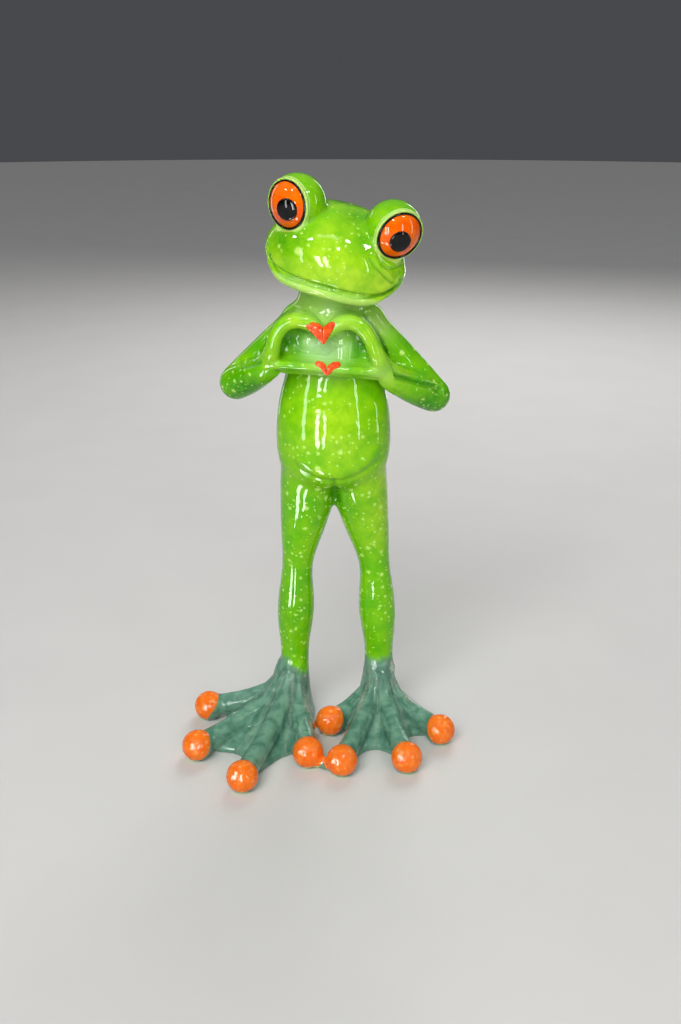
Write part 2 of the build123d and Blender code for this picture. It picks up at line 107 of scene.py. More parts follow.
# %% Camera
camera_place = figure @ Vector((2.0, -305.0, 184.83))
look_down = math.radians(21.0)
bpy.ops.object.camera_add(location=camera_place, rotation=(math.radians(90.0) - look_down, 0, 0))
camera = bpy.context.object
camera.name = "photo_camera"
camera.data.lens = 38.67
camera.data.sensor_width = 36.0
bpy.context.scene.camera = camera
bpy.context.scene.view_settings.view_transform = "Standard"
print("camera at, in mm:", [round(c / mm, 1) for c in camera_place])

# %% [markdown]
# ## Clay
#
# Three helpers add clay. `casting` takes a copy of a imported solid, merged, because its triangles are
# loose. `ball` presses on a lump. `tube` rolls a sausage of changing thickness along a smooth path, which
# is right for fingers, tendons and folds. All of it is closed, so a voxel remesh can melt it together.

# %% Helpers that add clay
clay = []


def deselect():
    bpy.ops.object.select_all(action="DESELECT")


def make_active(piece):
    deselect()
    piece.select_set(True)
    bpy.context.view_layer.objects.active = piece


def edit_all_of(piece):
    """Enters edit mode with everything on one piece selected."""
    make_active(piece)
    bpy.ops.object.mode_set(mode="EDIT")
    bpy.ops.mesh.select_all(action="SELECT")


def casting(node):
    """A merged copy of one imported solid."""
    copy = bpy.data.objects.new("clay_" + node, nodes[node].data.copy())
    bpy.context.collection.objects.link(copy)
    edit_all_of(copy)
    bpy.ops.mesh.remove_doubles(threshold=0.001 * mm)
    bpy.ops.object.mode_set(mode="OBJECT")
    clay.append(copy)


def ball(place, radius, stretch=(1, 1, 1), place_in=figure):
    """A lump of clay, round or stretched along the axes of the frame it is in."""
    deselect()
    bpy.ops.mesh.primitive_ico_sphere_add(subdivisions=4, radius=radius)
    lump = bpy.context.object
    lump.matrix_world = place_in @ Matrix.Translation(place) @ Matrix.Diagonal((*stretch, 1))
    clay.append(lump)


def tube(points, radii, place_in=figure):
    """A sausage of clay along a smooth path, with round ends."""
    deselect()
    bpy.ops.curve.primitive_nurbs_path_add()
    path = bpy.context.object
    path.data.splines.clear()
    spline = path.data.splines.new("NURBS")
    spline.points.add(len(points) - 1)
    for point, place, radius in zip(spline.points, points, radii):
        point.co = (*place, 1)
        point.radius = radius
    spline.order_u = 3
    spline.use_endpoint_u = True
    spline.resolution_u = 8
    path.data.bevel_depth = 1.0
    path.data.bevel_resolution = 6
    path.data.use_fill_caps = True
    bpy.ops.object.convert(target="MESH")
    sausage = bpy.context.object
    sausage.matrix_world = place_in
    clay.append(sausage)
    ball(points[0], radii[0], place_in=place_in)
    ball(points[-1], radii[-1], place_in=place_in)


def melt(name, voxel):
    """Joins all the clay and melts it into one closed skin; loose crumbs and inner walls are dropped."""
    deselect()
    for lump in clay:
        lump.select_set(True)
    skin = clay[0]
    bpy.context.view_layer.objects.active = skin
    bpy.ops.object.join()
    bpy.ops.object.transform_apply(location=True, rotation=True, scale=True)
    clay.clear()
    remesh = skin.modifiers.new("melt", "REMESH")
    remesh.mode = "VOXEL"
    remesh.voxel_size = voxel * mm
    bpy.ops.object.modifier_apply(modifier=remesh.name)
    edit_all_of(skin)
    bpy.ops.mesh.separate(type="LOOSE")
    bpy.ops.object.mode_set(mode="OBJECT")
    crumbs = sorted(bpy.context.selected_objects, key=lambda piece: len(piece.data.vertices))
    skin = crumbs.pop()
    for crumb in crumbs:
        bpy.data.objects.remove(crumb)
    skin.name = name
    skin.data.materials.clear()
    make_active(skin)
    bpy.ops.object.shade_smooth()
    print(name, "has", len(skin.data.polygons), "faces")
    return skin


# %% [markdown]
# ## Blending
#
# `Skin` holds the points of a melted skin as one array in figure millimetres, so a change to all of it is
# one line of arithmetic. `blend` moves each point towards the middle of its neighbours, as a wet brush
# does on clay, and a weight for each point says how much.

# %% Points, normals and blending of a skin
def read(values, field, count, width, kind=np.float64):
    data = np.empty(count * width, kind)
    values.foreach_get(field, data)
    return data.reshape(count, width) if width > 1 else data


def neighbour_total(row, edges):
    """For each point the sum of a row's values over the points that edges join it to."""
    first, second = edges.T
    return np.bincount(first, row[second], len(row)) + np.bincount(second, row[first], len(row))


def store(mesh, name, values):
    """Keeps one number for each point of a mesh under a name."""
    attribute = mesh.attributes.new(name, "FLOAT", "POINT")
    attribute.data.foreach_set("value", values.astype(np.float32))


class Skin:
    def __init__(self, piece):
        self.piece = piece
        mesh = piece.data
        self.count = len(mesh.vertices)
        self.places = read(mesh.vertices, "co", self.count, 3) / mm - np.array(shift) / mm
        self.edges = read(mesh.edges, "vertices", len(mesh.edges), 2, np.int32)
        self.degree = np.bincount(self.edges.ravel(), minlength=self.count)

    def blend(self, weight, rounds, keep=0.0):
        """Blends in rounds; keep, near 1, pushes each step back out so that nothing grows thin."""
        steps = (weight, -keep * weight) if keep else (weight,)
        for _ in range(rounds):
            for step in steps:
                for axis in range(3):
                    row = self.places[:, axis]
                    row += step * (neighbour_total(row, self.edges) / self.degree - row)
        return self

    def write(self):
        mesh = self.piece.data
        mesh.vertices.foreach_set("co", (self.places * mm + np.array(shift)).ravel())
        mesh.update()

    def normals(self):
        self.write()
        return read(self.piece.data.vertex_normals, "vector", self.count, 3)


def smooth_step(value):
    value = np.clip(value, 0, 1)
    return value * value * (3 - 2 * value)


def near_points(places, spots):
    """How near each place is to a list of (x, y, z, radius, strength) spots: the strongest counts."""
    field = np.zeros(len(places))
    for x, y, z, radius, strength in spots:
        apart = np.linalg.norm(places - np.array((x, y, z)), axis=1)
        field = np.maximum(field, strength * np.exp(-((apart / radius) ** 2)))
    return field


def line_distance(places, points):
    """Distance from each place to a run of straight stretches, in two or three dimensions."""
    points = np.array(points, float)
    nearest = np.full(len(places), np.inf)
    for start, end in zip(points[:-1], points[1:]):
        run = end - start
        share = np.clip((places - start) @ run / (run @ run), 0, 1)
        nearest = np.minimum(nearest, np.linalg.norm(places - start - share[:, None] * run, axis=1))
    return nearest


def curve_points(points, per_stretch=6):
    """Rounds a run of points off into a smooth line that still passes through them."""
    points = [np.array(point, float) for point in points]
    line = []
    padded = [2 * points[0] - points[1]] + points + [2 * points[-1] - points[-2]]
    for a, b, c, d in zip(padded, padded[1:], padded[2:], padded[3:]):
        for step in range(per_stretch):
            t = step / per_stretch
            line.append(0.5 * (2 * b + (c - a) * t + (2 * a - 5 * b + 4 * c - d) * t * t
                               + (3 * b - a - 3 * c + d) * t ** 3))
    line.append(points[-1])
    return line


# %% [markdown]
# ## The body
#
# The first clay is the body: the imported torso, arms, legs and feet, with the muscles that the castings
# lack. Shoulders roll into the chest, the hips swell under the belly, and on each foot four tendons fan
# out from the ankle to the toes. It is melted coarsely and blended hard at the joints only.

# %% Toes, the numbers that the clay and the paint share
# each toe's turn outwards from straight ahead in degrees, and its reach from the ankle
toes = {
    "right": [("inner", -8.9, 30.4), ("second", 17.8, 44.2), ("third", 46.7, 38.5), ("outer", 81.8, 27.3)],
    "left": [("inner", -49.5, 19.6), ("second", -18.6, 36.1), ("third", 12.6, 33.5), ("outer", 45.6, 25.4)],
}
web_reaches = {"right": [26.5, 30.5, 19.5], "left": [17.5, 23.0, 18.5]}
ankle_out = {"right": 12.2, "left": 13.9}
ball_height = 4.1
ball_radius = 4.6
# a tendon's share of the reach, its height and its half thickness, from the ankle to the toe
tendon = [(0.0, 21.0, 2.8), (0.09, 14.0, 1.9), (0.28, 9.2, 1.7), (0.52, 6.8, 2.2), (0.80, 4.6, 3.0),
          (1.0, ball_height, 3.3)]


def toe_point(side, turn, reach, height):
    """A point at a reach from the ankle, turned outwards from straight ahead."""
    sign = sides[side]
    angle = math.radians(turn)
    return (sign * (ankle_out[side] + reach * math.sin(angle)), -reach * math.cos(angle), height)


print("toes:", {side: [name for name, _, _ in rows] for side, rows in toes.items()})

# %% Body clay
for node in ("torso", "neck_pin"):
    casting(node)
for side, sign in sides.items():
    for part in ("leg", "foot", "arm", "leg_wire", "shoulder_pin"):
        casting(f"{side}_{part}")
    for _, turn, reach in toes[side]:
        tube([toe_point(side, turn, reach * share, height) for share, height, _ in tendon],
             [thick for _, _, thick in tendon])
        ball(toe_point(side, turn, reach, ball_height), ball_radius)
    # shoulder and hip muscles
    ball((sign * 8.5, -2.6, 125.5), 6.2, (1, 0.95, 0.9))
    ball((sign * 8.6, -2.2, 84.5), 8.0, (0.86, 1.1, 1.0))
# the chest
ball((0, -6.0, 126.0), 6.8, (1.35, 0.95, 0.9))

body_voxel = 0.6
body = Skin(melt("body_clay", body_voxel))
# where limbs meet the body: x, y, z, radius and strength of the blending
joints = [
    (-9, -2, 124, 8, 1.0), (9, -2, 124, 8, 1.0), (-9, -2, 82, 11, 1.0), (9, -2, 82, 11, 1.0),
    (0, -4, 77, 5, 0.35), (0, -5, 130, 9, 1.0), (-13, -2, 113, 5, 0.9), (13, -2, 113, 5, 0.9),
    (-12.2, 0, 18, 6, 0.8), (13.9, 0, 18, 6, 0.8), (-12.2, 0, 48, 12, 0.5), (12, 0, 48, 12, 0.5),
    (-27.2, -3, 108, 4, 0.7), (28.2, -3, 104.4, 4, 0.7),
]
body.blend(0.5 * near_points(body.places, joints), 45)
body.blend(0.35, 16, keep=1.02).write()
clay.append(body.piece)

# %% [markdown]
# ## Head and hands
#
# The finer clay goes on next: the head with a pale lid rolled round each eye, the lips, the fingers that
# arch over to the middle, and the two thumbs laid end to end with the palms sloping up behind them. This
# time the clay is melted finely, because a lid is hardly a millimetre thick.

# %% Hands, the numbers of their arches
# x and z of each finger arch from the palm over to the middle, with its half thickness
hand_arches = {
    "right": [(-17.4, 115.4, 2.9), (-16.8, 117.8, 2.5), (-16.1, 120.4, 2.1), (-15.4, 123.3, 1.95),
              (-14.1, 125.9, 1.95), (-12.1, 127.6, 2.0), (-9.6, 128.2, 2.1), (-7.2, 127.9, 2.15),
              (-5.1, 126.8, 2.0), (-3.6, 125.2, 1.6)],
    "left": [(14.8, 112.8, 2.9), (13.1, 115.6, 2.6), (11.8, 118.4, 2.3), (10.8, 121.2, 2.1),
             (9.6, 123.8, 2.05), (7.9, 126.0, 2.1), (5.6, 127.6, 2.15), (3.0, 127.8, 2.2),
             (0.7, 126.8, 2.05), (-1.1, 125.0, 1.6)],
}
# how far forward each row of fingers lies, and how far along the arch it starts
finger_rows = [(-16.5, 0), (-14.3, 0), (-12.2, 0), (-10.2, 3)]
# each wrist, from the foot of the arch back to the forearm
wrists = {
    "right": [(-16.6, -14.2, 118.4), (-17.6, -12.6, 114.9), (-21.0, -8.9, 111.9), (-25.0, -5.0, 109.4)],
    "left": [(12.4, -14.2, 116.0), (15.2, -12.6, 112.2), (19.6, -8.9, 109.0), (24.6, -5.0, 106.2)],
}
wrist_radii = [2.6, 3.7, 4.3, 4.6]
# below this height an arch turns back to its wrist, so many mm for each mm that it comes down
turning_height = {"right": 119.5, "left": 117.2}
turning_back = 0.95
# the thumbs, laid end to end: x, how far the ends lie back, and z
thumb_line = [(-16.4, 2.4, 115.7), (-13.0, 0.3, 116.4), (-8.0, 0.0, 116.1), (-2.0, 0.0, 115.4),
              (3.5, 0.0, 114.9), (9.0, 0.3, 114.5), (13.4, 2.4, 113.2)]
# the palms slope up behind them in rolls, from the front: y, lift and half thickness
thumb_rolls = [(-17.4, 0.0, 1.3), (-16.0, 0.1, 1.4), (-14.4, 0.3, 1.6), (-12.8, 0.5, 1.8), (-11.2, 0.8, 2.0)]
under_thumbs = [(-13.0, -13.4, 114.8), (-5.0, -13.6, 114.4), (3.0, -13.6, 113.8), (11.0, -13.2, 113.0)]
# the hollow of each palm closes against the chest
palm_lumps = [((-12.0, -9.2, 119.6), 3.8), ((-11.6, -8.8, 123.4), 3.4), ((-6.0, -8.8, 121.6), 4.6),
              ((9.6, -9.2, 118.6), 3.8), ((8.8, -8.8, 122.4), 3.4), ((3.0, -8.8, 121.2), 4.6),
              ((-1.6, -8.9, 121.2), 4.7)]
# the lower lip, a soft roll under the mouth, in the head's own frame
lip_line = [(-16.4, -3.6, -5.4), (-13.8, -7.0, -7.6), (-11.0, -8.9, -8.5), (-6.0, -10.9, -8.7),
            (0.0, -11.9, -8.6), (6.0, -11.2, -8.7), (10.8, -9.1, -8.3), (14.0, -7.0, -7.2),
            (17.0, -3.2, -4.0)]
lip_radii = [0.9, 1.2, 1.4, 1.5, 1.5, 1.5, 1.4, 1.2, 0.9]
print("fingers in", len(finger_rows), "rows, thumbs in", len(thumb_rolls), "rolls")

# %% Fine clay
lid_radius = 0.4
casting("head")
for side, sign in sides.items():
    for forward, start in finger_rows:
        arch = hand_arches[side][start:]
        tube([(x, forward + turning_back * max(0, turning_height[side] - z), z) for x, z, thick in arch],
             [thick for x, z, thick in arch])
    tube(wrists[side], wrist_radii)
    deselect()
    bpy.ops.mesh.primitive_torus_add(major_radius=disc_radius + 0.3, minor_radius=lid_radius,
                                     major_segments=96, minor_segments=20)
    lid = bpy.context.object
    lid.matrix_world = eyes[side] @ Matrix.Translation((-0.35 * sign, 0, disc_height - 0.1))
    clay.append(lid)
    # the soft filling behind each eye mound
    ball((sign * 12.2, 0.4, 9.4), 6.9, place_in=head)
for forward, lift, thick in thumb_rolls:
    tube([(x, forward + back, z + lift) for x, back, z in thumb_line], [thick] * len(thumb_line))
tube(under_thumbs, [1.8] * len(under_thumbs))
for place, radius in palm_lumps:
    ball(place, radius)
tube(lip_line, lip_radii, place_in=head)

skin_voxel = 0.29
skin = Skin(melt("frog_skin", skin_voxel))
# the points, and their x, y and z as rows: both follow whatever is done to the skin
places = skin.places
x, y, z = places.T

# %% [markdown]
# ## Modelling tools for the creases
#
# A sculptor presses a line with a pointed tool and raises a fold by pushing clay up beside it. `press`
# does both: it moves points along their normals by a smooth bump across a line. The line lies in a plane,
# such as the front view, and only points that face the tool are moved.

# %% The tool that presses lines
to_head = np.array((head.inverted() @ figure).to_3x3())


def in_head(places):
    return (places - np.array(head_centre)) @ to_head.T


def press(flat, points, width, depth, reach):
    """Presses a line depth deep into the skin along its normals, or raises it where depth is negative.

    flat holds each point's place in the plane of the line and reach, from 0 to 1, where the tool acts."""
    apart = line_distance(flat, curve_points(points))
    skin.places -= normals * (depth * reach * np.exp(-((apart / width) ** 2)))[:, None]


# %% Blend the fine clay
# where fingers, palms and wrists meet: x, y, z, radius and strength
hand_joints = [
    (0, -8, 132, 8, 1.0), (-6, -6, 131, 6, 1.0), (7, -6, 130, 6, 1.0), (-3, -11, 129, 4, 0.8),
    (5, -11, 129, 4, 0.8), (-18.5, -11, 113.6, 5, 1.0), (16.5, -11, 111.0, 5, 1.0), (-12, -12, 116, 5, 1.0),
    (10, -12, 114.5, 5, 1.0), (-8, -12, 121, 5, 0.9), (5, -12, 120.5, 5, 0.9), (-2, -13, 113, 5, 0.9),
    (-9, -13, 113, 5, 0.9), (6, -13, 112, 5, 0.9), (-12, -10, 129, 4, 0.8), (10, -10, 128, 4, 0.8),
    (-17, -10, 120, 4, 0.7), (14, -10, 118, 4, 0.7), (-17, -15, 116.5, 4, 1.0), (14, -15, 114, 4, 1.0),
    (-19.5, -11, 112, 4, 1.0), (18, -11, 109.5, 4, 1.0),
]
# where the eye mounds rise from the head, on one side and in the head's own frame
mound_foot = [(6.0, -6, 10), (5.5, -1, 13), (8, -10, 5.5), (13, -11, 3), (17, -8, 3), (8, 3, 12)]
mound_joints = [(sign * x, y, z, 3.5, 1.0) for sign in (-1, 1) for x, y, z in mound_foot]
face = in_head(places)
is_head = (face[:, 2] > -12.5) & (z > 128)
weight = np.maximum(near_points(places, hand_joints), np.where(is_head, near_points(face, mound_joints), 0))
skin.blend(0.5 * weight, 36)
skin.blend(0.3, 8, keep=1.02)
print("blended", int((weight > 0.5).sum()), "points hard")

# %% Lines of the face, in the head's front view
normals = skin.normals()
face = in_head(places)
face_normals = normals @ to_head.T
is_face = ((face[:, 2] > -12) & (z > 130) & (face[:, 1] < 2)).astype(float)
is_face *= smooth_step(-face_normals[:, 1] / 0.25 + 0.6)
front = face[:, [0, 2]]
mouth = [(-17.6, -1.6), (-16.6, -3.4), (-15.4, -5.4), (-13.8, -6.8), (-11.2, -7.5), (-8.5, -7.5),
         (-5.5, -7.4), (-2.3, -7.3), (1.3, -7.2), (5.0, -7.4), (8.0, -7.5), (10.9, -7.1), (13.6, -6.1),
         (15.7, -4.8), (17.3, -3.0), (18.0, -1.2)]
cheek_fold = [(9.3, 2.6), (11.3, 0.8), (13.1, -0.3), (15.0, -1.6), (16.3, -2.4)]
# each line with its width and its depth
face_lines = [
    ([(u, v + 1.3) for u, v in mouth], 1.0, -0.35),
    (mouth, 0.42, 0.75),
    ([(u + 0.7, v + 0.7) for u, v in cheek_fold], 0.7, -0.35),
    (cheek_fold, 0.4, 0.4),
    ([(16.4, -2.3), (16.8, -0.8), (17.6, 0.6)], 0.4, 0.3),
    ([(12.4, 1.9), (14.4, 1.3), (16.0, 1.5), (17.4, 2.4)], 0.4, 0.3),
]
for points, width, depth in face_lines:
    press(front, points, width, depth, is_face)
print("lines on the face:", len(face_lines))

# %% The line under the belly, and the folds where the arms meet the hands
is_front = smooth_step(-normals[:, 1] / 0.3)
flat = places[:, [0, 2]]
belly = is_front * (z > 78) * (z < 96)
belly *= smooth_step((x + 13.5) / 6.0) * smooth_step((14.5 - x) / 4.0)
belly_line = [(-13.8, 90.0), (-12.3, 88.4), (-9.3, 86.0), (-5.1, 83.9), (0.2, 82.7), (4.7, 83.6), (8.8, 85.6),
              (12.2, 88.0), (13.6, 89.6)]
press(flat, [(u, v + 2.0) for u, v in belly_line], 1.9, -0.4, belly)
press(flat, belly_line, 0.8, 0.4, belly)
between_legs = is_front * (z > 70) * (z < 84)
press(flat, [(0.2, 82.6), (0.4, 79.0), (0.4, 74.0)], 1.0, 0.8, between_legs)
arms = (z > 99) * (z < 129) * (np.abs(x) > 7) * (y > -15.5)
right_fold = [(-17.9, 121.0), (-18.6, 118.8), (-19.4, 117.0), (-21.0, 116.2), (-23.2, 115.3), (-25.6, 114.4)]
left_fold = [(8.4, 126.9), (11.2, 123.4), (13.7, 118.5), (15.0, 114.8), (16.6, 113.0), (19.7, 111.6),
             (23.9, 109.8), (27.3, 108.5), (29.6, 107.0)]
for fold in (right_fold, left_fold):
    press(flat, fold, 0.75, 1.3, arms * smooth_step(-normals[:, 1] / 0.3 + 0.5))
skin.blend(0.25, 3, keep=1.02)

# %% [markdown]
# ## Feet
#
# Between the toes the webs are pulled thin, with a groove beside each tendon. From above these are lines
# in plan, so the tool presses from above, on what faces up.

# %% Grooves and ridges on the feet
web_shares = (0.22, 0.5, 0.8, 0.98)
# a fine fold on a web: where it lies between two toes, and how far out it runs
web_folds = ((0.32, 0.8), (0.42, 0.62), (0.6, 0.7), (0.7, 0.86))
# a groove beside a tendon: share of the reach, and degrees aside
groove_course = ((0.16, 26), (0.3, 15), (0.5, 8.5), (0.68, 5.4))


def toe_line(side, turn, reach, course):
    """A line in plan out from the ankle: for each bend its share of the reach and its swing in degrees."""
    return [toe_point(side, turn + swing, reach * share, 0)[:2] for share, swing in course]


web_lines, fold_lines, groove_lines = [], [], []
for side in sides:
    rows = toes[side]
    for (_, turn, _), (_, next_turn, _), reach in zip(rows, rows[1:], web_reaches[side]):
        web_lines.append(toe_line(side, (turn + next_turn) / 2, reach, [(share, 0) for share in web_shares]))
        for share, until in web_folds:
            middle = turn + (next_turn - turn) * share
            fold_lines.append(toe_line(side, middle, reach, ((0.2, 0.0), (0.4, 1.0), (until, -0.6))))
    for _, turn, reach in rows:
        for aside in (-1, 1):
            course = [(share, aside * swing) for share, swing in groove_course]
            groove_lines.append(toe_line(side, turn, reach, course))

normals = skin.normals()
plan = places[:, :2]
on_foot = (z < 17) * smooth_step(normals[:, 2] / 0.3)
for lines, width, depth in ((web_lines, 0.7, -0.2), (fold_lines, 0.38, -0.22), (groove_lines, 0.5, 0.22)):
    for line in lines:
        press(plan, line, width, depth, on_foot)
skin.blend(0.3, 2, keep=1.02)
z[:] = np.maximum(z, 0)
print("lines on the feet:", len(web_lines) + len(fold_lines) + len(groove_lines))

# %% [markdown]
# ## Paint masks
#
# The painter's masks are attributes on the skin, one number for each point, worked out here from the
# place and the slope of the skin. Besides paint, some of them carry painted shade and painted light.
# A material reads them by name. So paint runs over the joints between pieces without a break, as it
# does on the real figure.

# %% Noise and spots for the masks
normals = skin.normals()
face = in_head(places)
masks = {}


def cloud(scale, seed):
    """Smooth noise between -1 and 1 at each point, with features about scale millimetres wide."""
    start = Vector((seed * 17.3, seed * 5.1, seed * 9.7))
    return np.array([noise.noise(Vector(place) / scale + start) for place in places.tolist()])


def spotted(body_spots, face_spots):
    """How near each point is to spots on the body, or to spots on the head in its own frame."""
    return np.maximum(near_points(places, body_spots), np.where(z > 128, near_points(face, face_spots), 0))


wobble = cloud(2.2, 1)
patches = cloud(6.0, 2)
print("noise from", round(float(wobble.min()), 2), "to", round(float(wobble.max()), 2))

# %% Teal feet and orange toe balls
# teal up to the ankles, lower on the inner side of the frog's right ankle
teal_top = 20.8
teal_line = np.where(x < 0, teal_top - 5.0 * smooth_step((x + 15.5) / 7.0), teal_top) + 1.1 * wobble
masks["teal"] = smooth_step((teal_line - z) / 3.6 + 0.5)

# the orange ends on a plane across each toe, tilted back, and a little above the floor
orange = np.zeros(len(places))
tilt = math.radians(32.0)
for side in sides:
    ankle = np.array(toe_point(side, 0, 0, 0))
    for _, turn, reach in toes[side]:
        centre = np.array(toe_point(side, turn, reach, ball_height))
        outwards = (centre - ankle) * (1, 1, 0) / reach
        way = outwards * math.cos(tilt) + np.array((0, 0, math.sin(tilt)))
        ahead = (places - centre) @ way + 0.7 + 0.45 * wobble
        near = np.linalg.norm(places - centre, axis=1) < ball_radius + 0.8
        orange = np.maximum(orange, near * smooth_step(ahead / 0.3 + 0.5))
above = smooth_step((z - 1.0 - 0.35 * wobble) / 0.4)
bare_rim = orange * (1 - above)
masks["orange"] = orange * above
masks["teal"] *= 1 - 0.9 * bare_rim

# %% Dark green, airbrushed on elbows, brows and cheeks, with painted shade between the legs, in the corners under the hand arches and along the fold between the left arm and hand
# spots of dark paint, and of painted shade between the legs and in the corners under the hand arches
dark_spots = [
    (26.5, -8.5, 101.5, 7.5, 1.0), (30.5, -4, 102.5, 6, 0.9), (-27.5, -8, 103.5, 6, 0.8),
    (-30.5, -3, 105, 5, 0.7), (20.0, -3, 117, 4.5, 0.5), (-22.0, -4, 118, 5, 0.4), (0.3, -6, 76, 5, 0.8),
    (-6, -9, 77, 6, 0.3), (4, -9, 74, 6, 0.4), (-24.5, -10, 107, 6, 1.0), (-22.0, -12.5, 108, 4.5, 1.0),
    (22, -10, 104, 5, 0.5), (-12.0, -11.5, 121.5, 3.4, 1.0), (7.8, -11.5, 121, 3.4, 1.0),
    (-8, -10, 125.5, 3, 0.7), (4, -10, 125.5, 3, 0.7), (-13, -6, 40, 12, 0.25), (17, -6, 96, 8, 0.3),
]
dark_face = [
    (-13, -1, 16.6, 5.5, 0.75), (13, -1, 16.4, 6, 0.8), (-14, -9, 1.0, 4.5, 0.65),
    (-10.5, -11, 3.0, 3.0, 0.45), (3, -6, 12.5, 4.5, 0.6), (6.5, -10, 7.0, 3.5, 0.35), (-2, 4, 13, 6, 0.6),
    (0, 12, 4, 10, 0.5),
]
# a little darker on whatever faces backwards
back = smooth_step(normals[:, 1]) * 0.35
# painted shade along the fold between the frog's left arm and its hand
fold_shade = np.exp(-((line_distance(places[:, [0, 2]], curve_points(left_fold)) / 0.8) ** 2))
fold_shade *= (z > 106) * (y > -15.5) * (y < -4)
dark = np.maximum(spotted(dark_spots, dark_face), 0.9 * fold_shade)
masks["dark"] = np.clip(dark + back + 0.12 * patches, 0, 1)

# %% Paler paint on lids, lower lip and palms, and painted light on the throat and the left shoulder
pale = np.zeros(len(places))
for side in sides:
    eye = np.array((eyes[side].inverted() @ figure))
    local = places @ eye[:3, :3].T + eye[:3, 3]
    ring = np.hypot(local[:, 0], local[:, 1])
    lid_band = np.exp(-(((ring - disc_radius - 0.6) / 0.6) ** 2))
    lid_band *= (np.abs(local[:, 2] - disc_height) < 1.2) * (z > 130)
    pale = np.maximum(pale, 0.9 * lid_band)
lip_band = smooth_step((-7.0 - face[:, 2]) / 0.8) * (face[:, 1] < 3) * (z > 130) * 0.55
# pale paint on the thumbs and palms, and painted light on the throat and the frog's left shoulder
pale_and_lit_spots = [
    (-2, -15, 117.5, 6, 0.6), (12, -15, 114, 4, 0.5), (-1, -11, 131, 7, 1.0), (-5, -11, 130, 4, 0.8),
    (5, -10, 130.5, 4, 0.9), (11, -6, 125, 5, 0.7), (4, -9, 128, 4, 0.6),
]
pale = np.maximum(np.maximum(pale, lip_band), near_points(places, pale_and_lit_spots))
masks["pale"] = np.clip(np.maximum(pale, bare_rim), 0, 1)
# painted reflection: a bluish white sheen in the hollow of the hands, and a little on the throat
milky_spots = [(-5.2, -13, 120.4, 3.0, 1.0), (-2.0, -13, 119.2, 3.6, 1.0), (2.2, -12.5, 119.2, 3.0, 0.8),
               (-1, -11, 131, 4, 0.3)]
masks["milky"] = near_points(places, milky_spots)

# %% Yellow-green on the snout, the belly and the hands, with painted light on the throat where the chin shades it
# spots of yellow paint, and painted light on the throat under the chin
sunny_spots = [
    (0, -16, 100, 9, 0.75), (2, -16, 92, 8, 0.5), (-9, -18, 127.5, 5, 0.7), (4, -18, 127, 5, 0.6),
    (12, -17, 119, 5, 0.4), (-16, -17, 119, 4, 0.6), (11, -8, 80, 6, 0.6), (-26, -2, 112, 5, 0.4),
    (9, -17, 124, 4, 0.6), (0, -14, 90, 7, 0.4), (0, -10, 97, 16, 0.45), (13, -6, 82, 6, 0.85),
    (13, -6, 68, 9, 0.55), (-1, -10, 131, 6, 0.9), (15, -12, 112, 6, 0.4),
]
sunny_face = [
    (0, -14, -1, 8, 0.95), (6, -13, -4, 6, 0.9), (-5, -13, -4, 6, 0.8), (-4, -12, 5, 5, 0.6),
    (13, -9, -4, 6, 0.95), (-14, -8, -4, 5, 0.75), (0, -4, 0, 30, 0.3),
]
masks["sunny"] = np.clip(spotted(sunny_spots, sunny_face) + 0.15 * patches, 0, 1)

# %% How thickly the pale speckles lie
speckle_spots = [
    (0, -4, 66, 26, 0.75), (-12, 0, 40, 24, 0.65), (12, 0, 40, 24, 0.65), (-27, -6, 106, 9, 0.95),
    (27, -6, 103, 9, 0.95), (0, -10, 90, 14, 0.6), (0, -12, 104, 12, 0.35), (0, -4, 150, 16, 0.45),
    (-18, -5, 117, 7, 0.4), (20, -5, 116, 7, 0.4),
]
speckle_face = [(0, -14, -3, 8, 0.7), (6, -12, 5, 6, 0.5), (-9, -10, 3, 6, 0.5)]
speckles = spotted(speckle_spots, speckle_face)
masks["speckle"] = np.maximum(speckles * (1 - masks["teal"]), 0.7 * masks["orange"])

# %% Worn, greyish pink edges on webs and ankles
worn = np.zeros(len(places))
for web in web_lines:
    apart = line_distance(plan, curve_points(web))
    worn = np.maximum(worn, 0.35 * np.exp(-((apart / 0.7) ** 2)))
worn_edges = [
    [(-9.4, -2.5, 18), (-8.6, -6, 12), (-8.0, -14, 8.5)], [(17.6, -2.5, 19), (19.5, -5, 13), (24, -9, 8.5)],
    [(11.8, -4.5, 16), (9, -9, 10), (6.5, -18, 7.5)],
]
for edge in worn_edges:
    worn = np.maximum(worn, np.exp(-((line_distance(places, edge) / 1.1) ** 2)))
masks["worn"] = np.clip(worn * (0.55 + 0.8 * wobble) * masks["teal"] * (1 - orange), 0, 1)

# %% Painted shade in hollows and creases: darker where the skin lies below its blended self
hollow_depth = 0.16
probe = Skin(skin.piece)
probe.blend(0.5, 14)
below_blend = np.einsum("ij,ij->i", probe.places - places, normals)
masks["hollow"] = np.clip(below_blend / hollow_depth, 0, 1)
skin.write()
for name, values in masks.items():
    store(skin.piece.data, name, values)
    print("mask", name, "covers", round(float(values.mean()), 3))

# %% [markdown]
# ## Parting the skin
#
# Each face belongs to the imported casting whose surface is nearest. The borders are voted smooth and
# relaxed, the skin is separated along them, and each opening is closed with a cap inside. The pieces keep
# the skin's own normals, so no seam shows in the gloss.

